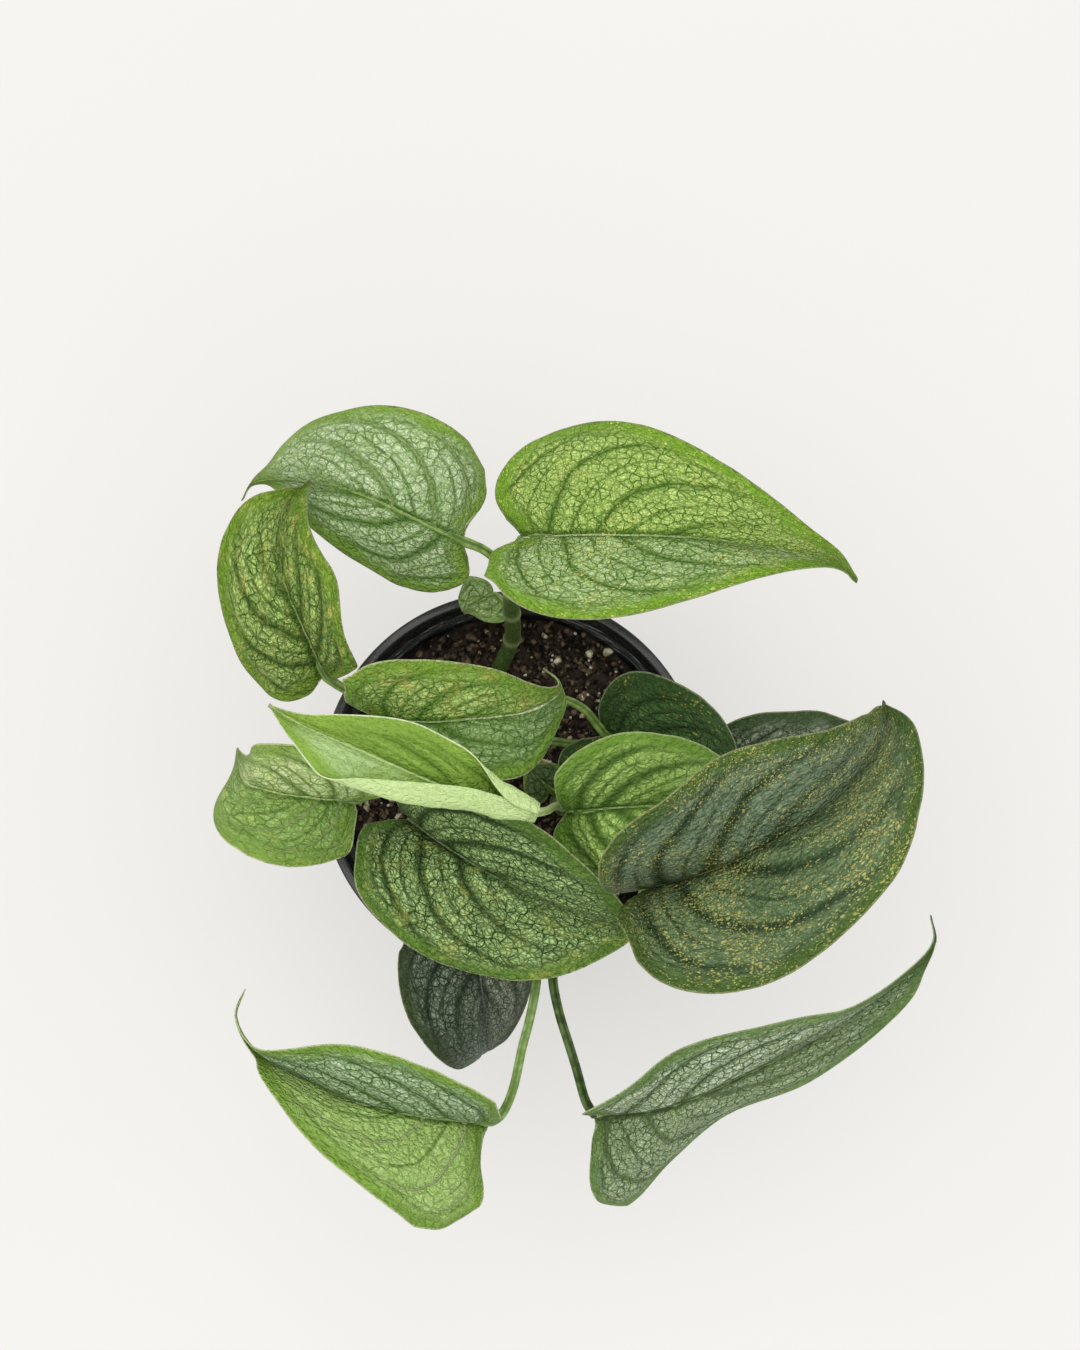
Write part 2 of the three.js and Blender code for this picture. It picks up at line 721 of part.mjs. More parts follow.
// The sheet given its thickness, with the same triangles on both faces
function bladeGeometry(leaf) {
  const rows = leaf.rows ?? 12;
  const columns = leaf.columns ?? 3;
  const sheet = bladeSheet(leaf, rows, columns);
  const across = 2 * columns + 1;
  const index = (i, j) => i * across + j;
  const triangles = [];
  for (let i = 0; i < rows; i++) {
    for (let j = 0; j < 2 * columns; j++) {
      const a = index(i, j);
      const b = index(i, j + 1);
      const c = index(i + 1, j + 1);
      const d = index(i + 1, j);
      if (j < columns) triangles.push([a, b, d], [b, c, d]);
      else triangles.push([a, b, c], [a, c, d]);
    }
  }
  const points = sheet.flat();
  const normals = points.map(() => new THREE.Vector3());
  const facets = triangles.map(([a, b, c]) => {
    const u = points[b].clone().sub(points[a]);
    const v = points[c].clone().sub(points[a]);
    const facet = v.cross(u);
    for (const k of [a, b, c]) normals[k].add(facet);
    return facet.clone().normalize();
  });
  normals.forEach((n) => n.normalize());
  const stretch = points.map(() => 1);
  triangles.forEach((corners, k) => {
    for (const c of corners) {
      const facing = Math.max(normals[c].dot(facets[k]), CREASE_LIMIT);
      stretch[c] = Math.max(stretch[c], 1 / facing);
    }
  });
  const count = points.length;
  const positions = [];
  for (const face of [1, -1]) {
    points.forEach((p, k) => {
      const placed = p.clone().addScaledVector(normals[k], (face * BLADE_THICKNESS * stretch[k]) / 2);
      positions.push(placed.x, placed.y, placed.z);
    });
  }
  const indices = [];
  for (const [a, b, c] of triangles) indices.push(a, c, b, count + a, count + b, count + c);
  const edge = [];
  for (let j = 0; j < 2 * columns; j++) edge.push(index(0, j));
  for (let i = 0; i < rows; i++) edge.push(index(i, 2 * columns));
  for (let j = 2 * columns; j > 0; j--) edge.push(index(rows, j));
  for (let i = rows; i > 0; i--) edge.push(index(i, 0));
  edge.forEach((a, k) => {
    const b = edge[(k + 1) % edge.length];
    indices.push(a, b, count + b, a, count + b, count + a);
  });
  const geometry = new THREE.BufferGeometry();
  geometry.setAttribute("position", new THREE.Float32BufferAttribute(positions, 3));
  geometry.setIndex(indices);
  return geometry;
}

// A whole leaf: the blade with its petiole, cut clear of the stem that carries it
function leafSolid(leaf) {
  const blade = solidOf(bladeGeometry(leaf));
  const rib = midrib(leaf.rib);
  const seat = rib.at(0);
  const inside = rib.at(Math.min(PETIOLE_RUN.longest, PETIOLE_RUN.share * rib.length));
  const drop = PETIOLE_UNDER - leaf.petioleRadius;
  const ends = [seat, inside].map((f) => f.point.addScaledVector(f.up, drop).toArray());
  const path = [...leaf.petiole, ...ends];
  const petiole = solidOf(rod(path, leaf.petioleRadius, PETIOLE_SIDES, 2 * path.length));
  return blade.add(petiole).subtract(stemSolid(STEMS[leaf.stem], FIT_GAP));
}

// The pot: one turned profile with drain holes through its floor
function potSolid() {
  const bandZ = POT_HEIGHT - BAND_HEIGHT;
  const neck = RIM_RADIUS - BAND_STEP;
  const outline = [
    [0, 0],
    [BASE_RADIUS - EDGE_ROUND, 0],
    [BASE_RADIUS, EDGE_ROUND],
    [neck, bandZ - EDGE_ROUND],
    [RIM_RADIUS - BAND_TAPER, bandZ],
    [RIM_RADIUS, POT_HEIGHT - EDGE_ROUND],
    [RIM_RADIUS - EDGE_ROUND, POT_HEIGHT],
    [RIM_RADIUS - LIP_WIDTH + EDGE_ROUND, POT_HEIGHT],
    [RIM_RADIUS - LIP_WIDTH, POT_HEIGHT - EDGE_ROUND],
    [RIM_RADIUS - LIP_WIDTH - EDGE_ROUND, bandZ + BAND_TAPER],
    [neck - POT_WALL, bandZ],
    [BASE_RADIUS - POT_WALL, POT_FLOOR + EDGE_ROUND],
    [BASE_RADIUS - POT_WALL - EDGE_ROUND, POT_FLOOR],
    [0, POT_FLOOR],
  ];
  const profile = outline.map(([x, y]) => new THREE.Vector2(x, y));
  const turned = new THREE.LatheGeometry(profile, POT_SIDES);
  turned.rotateX(Math.PI / 2);
  let solid = solidOf(turned);
  for (let i = 0; i < DRAIN_HOLES; i++) {
    const angle = (2 * Math.PI * i) / DRAIN_HOLES;
    const hole = new THREE.CylinderGeometry(DRAIN_RADIUS, DRAIN_RADIUS, 3 * POT_FLOOR, DRAIN_SIDES);
    hole.rotateX(Math.PI / 2);
    hole.translate(DRAIN_RING_RADIUS, 0, POT_FLOOR / 2);
    hole.rotateZ(angle);
    solid = solid.subtract(solidOf(hole));
  }
  return solid;
}

// The soil: an uneven top on a tapered plug, with a hole for each stem
function soilSolid() {
  const bandZ = POT_HEIGHT - BAND_HEIGHT;
  const bottom = POT_FLOOR + FIT_GAP;
  const foot = bottom + EDGE_ROUND;
  const topRadius = RIM_RADIUS - BAND_STEP - POT_WALL - SOIL_WALL_GAP;
  const footRadius = BASE_RADIUS - POT_WALL - SOIL_WALL_GAP;
  const wallRadius = (z) => THREE.MathUtils.mapLinear(z, foot, bandZ, footRadius, topRadius);
  const rings = [...SOIL_RINGS, wallRadius(SOIL_TOP - SOIL_RELIEF)];
  const positions = [0, 0, SOIL_TOP];
  rings.forEach((r, k) => {
    for (let i = 0; i < SOIL_SIDES; i++) {
      const angle = (2 * Math.PI * i) / SOIL_SIDES;
      const x = r * Math.cos(angle);
      const y = r * Math.sin(angle);
      const { alongX, alongY, shift, share } = SOIL_MOUNDS;
      const mounds = share * Math.sin(x / alongX + shift) * Math.cos(y / alongY);
      const waves = Math.sin(x / SOIL_CLODS.alongX - y / SOIL_CLODS.alongY + SOIL_CLODS.shift);
      const height = k === rings.length - 1 ? -1 : mounds + SOIL_CLODS.share * waves;
      positions.push(x, y, SOIL_TOP + SOIL_RELIEF * height);
    }
  });
  const feet = [
    [footRadius, foot],
    [footRadius - EDGE_ROUND, bottom],
  ];
  for (const [r, z] of feet) {
    for (let i = 0; i < SOIL_SIDES; i++) {
      const angle = (2 * Math.PI * i) / SOIL_SIDES;
      positions.push(r * Math.cos(angle), r * Math.sin(angle), z);
    }
  }
  positions.push(0, 0, bottom);
  const last = positions.length / 3 - 1;
  const indices = [];
  for (let i = 0; i < SOIL_SIDES; i++) {
    const next = (i + 1) % SOIL_SIDES;
    indices.push(0, 1 + i, 1 + next);
    for (let k = 0; k < rings.length + 1; k++) {
      const a = 1 + k * SOIL_SIDES;
      const b = a + SOIL_SIDES;
      indices.push(a + i, b + i, b + next, a + i, b + next, a + next);
    }
    const lowest = 1 + (rings.length + 1) * SOIL_SIDES;
    indices.push(lowest + i, last, lowest + next);
  }
  const geometry = new THREE.BufferGeometry();
  geometry.setAttribute("position", new THREE.Float32BufferAttribute(positions, 3));
  geometry.setIndex(indices);
  let solid = solidOf(geometry);
  for (const stem of Object.values(STEMS)) solid = solid.subtract(stemSolid(stem, FIT_GAP));
  return solid;
}

// A named mesh in a group, its geometry measured from the group's own origin
function addMesh(group, name, solid, color, roughness) {
  const geometry = geometryOf(solid);
  geometry.translate(-group.position.x, -group.position.y, -group.position.z);
  const material = new THREE.MeshStandardMaterial({ color, roughness, metalness: 0 });
  const mesh = new THREE.Mesh(geometry, material);
  mesh.name = name;
  group.add(mesh);
}

const plant = new THREE.Group();
addMesh(plant, "pot", potSolid(), POT_COLOR, POT_ROUGHNESS);
addMesh(plant, "soil", soilSolid(), SOIL_COLOR, SOIL_ROUGHNESS);

// Each vine is a group that stands at its stem's foot and holds the stem and its leaves
for (const [stemName, stem] of Object.entries(STEMS)) {
  const vine = new THREE.Group();
  vine.position.set(...stem.path[0]);
  addMesh(vine, stemName, stemSolid(stem, 0), STEM_COLOR, STEM_ROUGHNESS);
  for (const [name, leaf] of Object.entries(LEAVES)) {
    if (leaf.stem === stemName) addMesh(vine, name, leafSolid(leaf), leaf.color, LEAF_ROUGHNESS);
  }
  plant.add(vine);
}

export default plant;
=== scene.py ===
import math

import bpy
import numpy as np
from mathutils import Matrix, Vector, noise


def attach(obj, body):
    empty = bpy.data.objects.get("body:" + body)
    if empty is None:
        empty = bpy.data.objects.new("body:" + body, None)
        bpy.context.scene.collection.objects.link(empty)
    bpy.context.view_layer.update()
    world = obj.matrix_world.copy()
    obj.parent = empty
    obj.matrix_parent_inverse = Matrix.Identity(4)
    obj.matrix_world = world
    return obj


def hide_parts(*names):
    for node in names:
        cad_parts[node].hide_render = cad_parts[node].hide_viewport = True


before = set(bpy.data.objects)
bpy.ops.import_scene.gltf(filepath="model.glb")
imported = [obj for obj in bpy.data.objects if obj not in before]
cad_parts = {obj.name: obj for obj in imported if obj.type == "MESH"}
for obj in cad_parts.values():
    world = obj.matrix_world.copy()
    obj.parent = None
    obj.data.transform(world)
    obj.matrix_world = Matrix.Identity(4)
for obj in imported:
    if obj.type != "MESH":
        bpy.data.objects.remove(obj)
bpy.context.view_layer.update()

# Camera
# It looks almost straight down on the plant from a metre above the pot's rim, as the photograph does.
CAMERA_PLACE = (0.00798, -0.0216, 1.0922)
CAMERA_TILT = 3
CAMERA_LENS = 93.2

camera_data = bpy.data.cameras.new("camera")
camera_data.lens = CAMERA_LENS
camera = bpy.data.objects.new("camera", camera_data)
camera.location = CAMERA_PLACE
camera.rotation_euler = (math.radians(CAMERA_TILT), 0, 0)
bpy.context.scene.collection.objects.link(camera)
bpy.context.scene.camera = camera

# Floor and light
# A plain pale studio floor and two broad, soft lights: a strong one high up on the left, towards the
# photograph's upper edge, and a weaker one on the right. The pale sky round them and the floor's own
# glow soften the shadows.
FLOOR_SIZE = 6.0
FLOOR_COLOUR = "#a4a29f"
FLOOR_CLOUD_COLOUR = "#a8a6a3"
FLOOR_GLOW_COLOUR = "#fffefb"
FLOOR_GLOW = 0.45
SKY_COLOUR = "#f7f8fa"
SKY_STRENGTH = 0.92
LIGHTS = {
    "key": {"place": (-0.35, 0.4, 1.7), "size": 1.5, "power": 13.0, "colour": "#fffaf2"},
    "fill": {"place": (0.9, -0.5, 1.4), "size": 1.6, "power": 3.8, "colour": "#f4f8ff"},
}


def colour(code):
    """A colour given by its six digits, as red, green, blue and alpha in linear light."""
    parts = [int(code[k : k + 2], 16) / 255 for k in (1, 3, 5)]
    return [p / 12.92 if p < 0.04045 else ((p + 0.055) / 1.055) ** 2.4 for p in parts] + [1.0]


class Value:
    """A number, vector or colour in a material; arithmetic on numbers adds its Math nodes."""

    def __init__(self, finish, socket):
        self.finish = finish
        self.socket = socket

    def math(self, operation, *numbers):
        sockets = dict(enumerate(numbers))
        return self.finish.node("ShaderNodeMath", {"operation": operation}, sockets)

    def __add__(self, other):
        return self.math("ADD", self, other)

    def __sub__(self, other):
        return self.math("SUBTRACT", self, other)

    def __rsub__(self, other):
        return self.math("SUBTRACT", other, self)

    def __mul__(self, other):
        return self.math("MULTIPLY", self, other)

    def __truediv__(self, other):
        return self.math("DIVIDE", self, other)

    def __abs__(self):
        return self.math("ABSOLUTE", self)

    __radd__ = __add__
    __rmul__ = __mul__

    def fraction(self):
        return self.math("FRACT", self)

    def above(self, limit):
        return self.math("GREATER_THAN", self, limit)

    def larger(self, other):
        return self.math("MAXIMUM", self, other)

    def step(self, low, high):
        """0 below low, 1 above high and smooth between, or the other way where low is the higher."""
        settings = {"interpolation_type": "SMOOTHSTEP"}
        sockets = {"Value": self, "From Min": low, "From Max": high}
        return self.finish.node("ShaderNodeMapRange", settings, sockets)

    def part(self, axis):
        return self.finish.node("ShaderNodeSeparateXYZ", {}, {"Vector": self}, axis)


class Finish:
    """A material that is built up node by node on one Principled shader."""

    def __init__(self, name, **constants):
        self.material = bpy.data.materials.new(name)
        self.material.use_nodes = True
        self.tree = self.material.node_tree
        self.tree.nodes.clear()
        self.shader = self.tree.nodes.new("ShaderNodeBsdfPrincipled")
        output = self.tree.nodes.new("ShaderNodeOutputMaterial")
        self.tree.links.new(self.shader.outputs["BSDF"], output.inputs["Surface"])
        for key, value in constants.items():
            self.connect(key.replace("_", " ").title().replace("Ior", "IOR"), value)

    def connect(self, name, value):
        self.plug(self.shader.inputs[name], value)

    def plug(self, socket, value):
        """Links a value to a socket, or sets it to a colour's digits or a constant."""
        if isinstance(value, Value):
            self.tree.links.new(value.socket, socket)
        else:
            socket.default_value = colour(value) if isinstance(value, str) else value

    def node(self, kind, settings, sockets, output=0):
        """A new node: its settings first, then its sockets by number, identifier or name."""
        made = self.tree.nodes.new(kind)
        for key, value in settings.items():
            setattr(made, key, value)
        for key, value in sockets.items():
            named = [s for s in made.inputs if key in (s.identifier, s.name)]
            self.plug(made.inputs[key] if isinstance(key, int) else named[0], value)
        named = [s for s in made.outputs if output in (s.identifier, s.name)]
        return Value(self, made.outputs[output] if isinstance(output, int) else named[0])

    def mix(self, a, b, share):
        """Colour a with a share of colour b."""
        sockets = {"Factor_Float": share, "A_Color": a, "B_Color": b}
        return self.node("ShaderNodeMix", {"data_type": "RGBA"}, sockets, "Result_Color")

    def place(self):
        return self.node("ShaderNodeTexCoord", {}, {}, "Object")

    def attribute(self, name):
        return self.node("ShaderNodeAttribute", {"attribute_name": name}, {}, "Vector")

    def stretch(self, vector, scale):
        sockets = {0: vector, 1: scale}
        return self.node("ShaderNodeVectorMath", {"operation": "MULTIPLY"}, sockets)

    def noise(self, vector, scale, detail=3.0, rough=0.5, output="Fac"):
        sockets = {"Vector": vector, "Scale": scale, "Detail": detail, "Roughness": rough}
        return self.node("ShaderNodeTexNoise", {}, sockets, output)

    def cells(self, vector, scale, feature="F1", output="Distance"):
        settings = {"feature": feature, "voronoi_dimensions": "2D"}
        return self.node("ShaderNodeTexVoronoi", settings, {"Vector": vector, "Scale": scale}, output)

    def bump(self, height, depth):
        """The height, from 0 to 1, as relief of a depth in metres."""
        sockets = {"Strength": 1.0, "Distance": depth, "Height": height}
        self.connect("Normal", self.node("ShaderNodeBump", {}, sockets))


def mesh_object(name, points, faces, finishes):
    """A smooth object at the origin from points in millimetres."""
    mesh = bpy.data.meshes.new(name)
    mesh.from_pydata((np.asarray(points) / 1000).tolist(), [], faces)
    for finish in finishes:
        mesh.materials.append(finish.material)
    mesh.polygons.foreach_set("use_smooth", [True] * len(mesh.polygons))
    made = bpy.data.objects.new(name, mesh)
    bpy.context.scene.collection.objects.link(made)
    return made


floor_finish = Finish("floor", roughness=0.9, emission_strength=FLOOR_GLOW)
floor_finish.connect("Emission Color", FLOOR_GLOW_COLOUR)
floor_cloud = floor_finish.noise(floor_finish.place(), 1.5).step(0.3, 0.7)
floor_finish.connect("Base Color", floor_finish.mix(FLOOR_COLOUR, FLOOR_CLOUD_COLOUR, floor_cloud))
reach = FLOOR_SIZE * 1000 / 2
corners = [(-reach, -reach, 0), (reach, -reach, 0), (reach, reach, 0), (-reach, reach, 0)]
floor = mesh_object("floor", corners, [(0, 1, 2, 3)], [floor_finish])

sky = bpy.data.worlds.new("sky")
sky.use_nodes = True
glow = sky.node_tree.nodes["Background"]
glow.inputs["Color"].default_value = colour(SKY_COLOUR)
glow.inputs["Strength"].default_value = SKY_STRENGTH
bpy.context.scene.world = sky
bpy.context.scene.view_settings.view_transform = "Standard"
for light_name, light in LIGHTS.items():
    lamp_data = bpy.data.lights.new(light_name, "AREA")
    lamp_data.size = light["size"]
    lamp_data.energy = light["power"]
    lamp_data.color = colour(light["colour"])[:3]
    lamp = bpy.data.objects.new(light_name, lamp_data)
    lamp.location = light["place"]
    lamp.rotation_euler = (-Vector(light["place"])).to_track_quat("-Z", "Y").to_euler()
    bpy.context.scene.collection.objects.link(lamp)

# Pot
# A thin black plastic nursery pot, shaped in a mould: a tapered wall that steps out into a rim band with
# a smooth lip and a creased inside, and a flat floor with six drain holes.
POT_HEIGHT = 92.0
RIM_RADIUS = 55.0
BASE_RADIUS = 39.5
POT_WALL = 1.2
POT_FLOOR = 2.0
BAND_HEIGHT = 10.0
BAND_STEP = 5.0
BAND_TAPER = 1.4
LIP_WIDTH = 2.8
POT_SIDES = 192
CORNER_RADIUS = 0.7
CORNER_STEPS = 4
SIDE_OVER_CUT = 2.1
BAND_UNDERCUT = 0.6
BAND_INSIDE_ROWS = 9
BAND_INSIDE_START = (0.25, 1.2)
BAND_INSIDE_ROW = (0.12, 0.9)
SHOULDER_ROWS = 6
SHOULDER_START = (1.4, 1.5)
SHOULDER_ROW = (0.36, 0.22)
CREASED_BELOW_BAND = 1
CREASED_BELOW_RIM = 0.9
CREASED_BEHIND_LIP = 0.1
CREASE_DEPTH = 0.55
CREASES_AROUND = 7
CREASE_SLANT = 0.9
DRAIN_HOLES = 6
DRAIN_RADIUS = 4.0
DRAIN_RING_RADIUS = 30.0
DRAIN_SIDES = 32
DRILL_BELOW = 3
DRILL_ABOVE = 4


def turned(profile, sides):
    """Points and faces of a closed shape that is turned round Z from a profile that ends on the axis."""
    ring = np.linspace(0, 2 * math.pi, sides, endpoint=False)
    points = [(0.0, 0.0, profile[0][1])]
    for r, z in profile[1:-1]:
        points += [(r * math.cos(a), r * math.sin(a), z) for a in ring]
    points.append((0.0, 0.0, profile[-1][1]))
    faces = []
    for i in range(sides):
        k = (i + 1) % sides
        faces.append((0, 1 + k, 1 + i))
        for row in range(len(profile) - 3):
            low, high = 1 + row * sides, 1 + (row + 1) * sides
            faces.append((low + i, low + k, high + k, high + i))
        last = 1 + (len(profile) - 3) * sides
        faces.append((last + i, last + k, len(points) - 1))
    return np.array(points), faces


def rounded(corners, radius):
    """A profile whose inner corners are rounded, by less on short sides."""
    line = [corners[0]]
    for before, corner, after in zip(corners, corners[1:], corners[2:]):
        before, corner, after = (np.array(p, float) for p in (before, corner, after))
        to_before, to_after = before - corner, after - corner
        cut = min(radius, *(np.linalg.norm(side) / SIDE_OVER_CUT for side in (to_before, to_after)))
        start = corner + to_before / np.linalg.norm(to_before) * cut
        end = corner + to_after / np.linalg.norm(to_after) * cut
        for t in np.linspace(0, 1, CORNER_STEPS + 1):
            line.append(tuple((1 - t) ** 2 * start + 2 * t * (1 - t) * corner + t**2 * end))
    line.append(corners[-1])
    return line


band_z = POT_HEIGHT - BAND_HEIGHT
neck = RIM_RADIUS - BAND_STEP
lip_inside = RIM_RADIUS - LIP_WIDTH
outside = [
    (0, 0),
    (BASE_RADIUS, 0),
    (neck, band_z - BAND_UNDERCUT),
    (RIM_RADIUS - BAND_TAPER, band_z),
    (RIM_RADIUS, POT_HEIGHT),
    (lip_inside, POT_HEIGHT),
]


def rows_inside(start, row, rows, z):
    """Profile points that each go a row's step inwards and down from a start at the lip's inside."""
    return [(lip_inside - start[0] - row[0] * k, z - row[1] * k) for k in range(rows)]


band_top = POT_HEIGHT - BAND_INSIDE_START[1]
shoulder_top = band_z + SHOULDER_START[1]
inside = rows_inside(BAND_INSIDE_START, BAND_INSIDE_ROW, BAND_INSIDE_ROWS, band_top)
inside += rows_inside(SHOULDER_START, SHOULDER_ROW, SHOULDER_ROWS, shoulder_top)
inside += [(BASE_RADIUS - POT_WALL, POT_FLOOR), (0, POT_FLOOR)]
pot_points, pot_faces = turned(rounded(outside + inside, CORNER_RADIUS), POT_SIDES)
creased = pot_points[:, 2] > band_z - CREASED_BELOW_BAND
creased &= pot_points[:, 2] < POT_HEIGHT - CREASED_BELOW_RIM
creased &= np.hypot(pot_points[:, 0], pot_points[:, 1]) < lip_inside - CREASED_BEHIND_LIP
for k in np.flatnonzero(creased):
    x, y, z = pot_points[k]
    radius = math.hypot(x, y)
    around = Vector((x / radius * CREASES_AROUND, y / radius * CREASES_AROUND, (z + radius) * CREASE_SLANT))
    push = CREASE_DEPTH * (noise.noise(around) + 0.4 * noise.noise(around * 3))
    pot_points[k] += np.array([-x / radius, -y / radius, 0.5]) * abs(push)

pot_finish = Finish("black pot plastic", specular_ior_level=0.6)
pot_place = pot_finish.place()
pot_grain = pot_finish.noise(pot_place, 900.0, 2.0)
pot_dust = pot_finish.noise(pot_place, 60.0, 6.0, 0.7).step(0.5, 0.75)
pot_black = pot_finish.mix("#1b1c20", "#2b2b2b", pot_dust * 0.6)
pot_finish.connect("Base Color", pot_black)
pot_finish.connect("Roughness", 0.24 + pot_dust * 0.25 + pot_grain * 0.08)
pot_finish.bump(pot_grain * 0.4 + pot_finish.noise(pot_place, 70.0, 3.0) * 0.6, 0.00012)
pot = mesh_object("nursery_pot", pot_points, pot_faces, [pot_finish])

drill_low, drill_high = -DRILL_BELOW, POT_FLOOR + DRILL_ABOVE
hole = [(0, drill_low), (DRAIN_RADIUS, drill_low), (DRAIN_RADIUS, drill_high), (0, drill_high)]
hole_points, hole_faces = turned(hole, DRAIN_SIDES)
drill_points, drill_faces = [], []
for k in range(DRAIN_HOLES):
    angle = 2 * math.pi * k / DRAIN_HOLES
    shift = np.array([DRAIN_RING_RADIUS * math.cos(angle), DRAIN_RING_RADIUS * math.sin(angle), 0])
    drill_faces += [tuple(i + k * len(hole_points) for i in face) for face in hole_faces]
    drill_points.extend(hole_points + shift)
drill = mesh_object("drill", drill_points, drill_faces, [pot_finish])


def settled(made):
    """Turns an object's modifiers into its plain mesh."""
    evaluated = made.evaluated_get(bpy.context.evaluated_depsgraph_get())
    made.data = bpy.data.meshes.new_from_object(evaluated)
    made.modifiers.clear()
    return made


drilling = pot.modifiers.new("drain holes", "BOOLEAN")
drilling.operation = "DIFFERENCE"
drilling.object = drill
settled(pot)
bpy.data.objects.remove(drill)
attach(pot, "root")
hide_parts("pot")

# Soil
# Loose peat and fine bark, filled to 12 mm below the rim and pressed into low mounds. On it lie peat
# crumbs, bark chips, tan mineral grains and white specks, strewn as they fell.
SOIL_TOP = 80.0
SOIL_RELIEF = 1.2
SOIL_RADIUS = 48.2
SOIL_FOOT_RADIUS = 37.8
SOIL_FOOT_GAP = 0.4
SOIL_EDGE_DROP = 1.5
SOIL_EDGE_FROM = 0.85
SOIL_STEP = 0.9
SOIL_SIDES = 160
STREWN_RADIUS = 46.5
PATCH_STEP = 1.5
STEM_FEET = {"rear": (-4, 33), "left": (-25, 2), "centre": (13, -5), "right": (5, 7), "front": (9, -19)}
STEM_CLEARANCE = 3.4


def soil_height(x, y):
    """The height of the soil's surface, in millimetres."""
    mounds = 0.7 * math.sin(x / 3.2 + 0.6) * math.cos(y / 3.7) + 0.35 * math.sin(x / 1.8 - y / 2.1 + 1.3)
    lumps = noise.fractal(Vector((x, y, 0)) * 0.25, 0.6, 2.2, 4)
    away = math.hypot(x, y) / SOIL_RADIUS
    sunk = SOIL_EDGE_DROP * max(away - SOIL_EDGE_FROM, 0) / 0.15
    return SOIL_TOP + SOIL_RELIEF * (0.5 * mounds + 0.8 * lumps) - sunk


soil_finish = Finish("peat", roughness=0.95, specular_ior_level=0.25)
soil_place = soil_finish.place()
soil_clod = soil_finish.noise(soil_place, 350.0, 6.0, 0.7)
soil_brown = soil_finish.mix("#100c0a", "#4a3d33", soil_clod.step(0.38, 0.66))
soil_finish.connect("Base Color", soil_brown)
soil_finish.bump(soil_clod, 0.0012)
rings = np.arange(SOIL_STEP, SOIL_RADIUS, SOIL_STEP)
soil_profile = [(0, SOIL_TOP)] + [(r, SOIL_TOP) for r in rings]
soil_profile += [(SOIL_RADIUS, SOIL_TOP - SOIL_EDGE_DROP)]
soil_foot = POT_FLOOR + SOIL_FOOT_GAP
soil_profile += [(SOIL_FOOT_RADIUS, soil_foot), (0, soil_foot)]
soil_points, soil_faces = turned(soil_profile[::-1], SOIL_SIDES)
for p in soil_points:
    if p[2] > SOIL_TOP - 1:
        p[2] = soil_height(p[0], p[1])
soil = mesh_object("soil_bed", soil_points, soil_faces, [soil_finish])
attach(soil, "root")
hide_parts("soil")


class Tree:
    """A Geometry Nodes tree with named inputs, and the modifier that runs it on an object."""

    def __init__(self, name, **inputs):
        self.tree = bpy.data.node_groups.new(name, "GeometryNodeTree")
        face = self.tree.interface
        face.new_socket("Geometry", in_out="INPUT", socket_type="NodeSocketGeometry")
        kinds = {float: "NodeSocketFloat", int: "NodeSocketInt", bpy.types.Object: "NodeSocketObject"}
        kinds[bpy.types.Material] = "NodeSocketMaterial"
        self.sockets = {}
        for key, kind in inputs.items():
            socket = face.new_socket(key.replace("_", " "), in_out="INPUT", socket_type=kinds[kind])
            self.sockets[key] = socket.identifier
        face.new_socket("Geometry", in_out="OUTPUT", socket_type="NodeSocketGeometry")
        self.start = self.tree.nodes.new("NodeGroupInput")

    def given(self, key):
        return [s for s in self.start.outputs if s.identifier == self.sockets[key]][0]

    def node(self, kind, settings, sockets, output=0):
        """A new node: its settings first, then its sockets by number or name."""
        made = self.tree.nodes.new(kind)
        for key, value in settings.items():
            setattr(made, key, value)
        for key, value in sockets.items():
            socket = made.inputs[key]
            if isinstance(value, bpy.types.NodeSocket):
                self.tree.links.new(value, socket)
            else:
                socket.default_value = value
        return made.outputs[output]

    def end(self, geometry, material):
        """Closes the tree with Realize Instances and Set Material."""
        real = self.node("GeometryNodeRealizeInstances", {}, {"Geometry": geometry})
        painted = self.node("GeometryNodeSetMaterial", {}, {"Geometry": real, "Material": material})
        self.tree.links.new(painted, self.tree.nodes.new("NodeGroupOutput").inputs[0])

    def run(self, made, **values):
        """Runs the tree on an object with these inputs and leaves a plain mesh."""
        modifier = made.modifiers.new(self.tree.name, "NODES")
        modifier.node_group = self.tree
        for key, value in values.items():
            modifier[self.sockets[key]] = value
        return settled(made)


FULL_TURN = 6.28
GRAIN_LUMP_SCALE = 420.0
strewn = Tree(
    "strewn grains",
    Grain=bpy.types.Object,
    Density=float,
    Smallest=float,
    Largest=float,
    Lumpiness=float,
    Seed=int,
    Finish=bpy.types.Material,
)
strewn_seed = strewn.given("Seed")
strewn_sockets = {"Mesh": strewn.start.outputs[0], "Density": strewn.given("Density"), "Seed": strewn_seed}
strewn_points = strewn.node("GeometryNodeDistributePointsOnFaces", {}, strewn_sockets)
strewn_sockets = {0: (0, 0, 0), 1: (FULL_TURN, FULL_TURN, FULL_TURN), "Seed": strewn_seed}
strewn_turn = strewn.node("FunctionNodeRandomValue", {"data_type": "FLOAT_VECTOR"}, strewn_sockets)
strewn_sockets = {2: strewn.given("Smallest"), 3: strewn.given("Largest"), "Seed": strewn_seed}
strewn_size = strewn.node("FunctionNodeRandomValue", {"data_type": "FLOAT"}, strewn_sockets, 1)
strewn_grain = strewn.node("GeometryNodeObjectInfo", {}, {"Object": strewn.given("Grain")}, "Geometry")
strewn_sockets = {"Points": strewn_points, "Instance": strewn_grain}
strewn_sockets |= {"Rotation": strewn_turn, "Scale": strewn_size}
strewn_copies = strewn.node("GeometryNodeInstanceOnPoints", {}, strewn_sockets)
strewn_real = strewn.node("GeometryNodeRealizeInstances", {}, {"Geometry": strewn_copies})
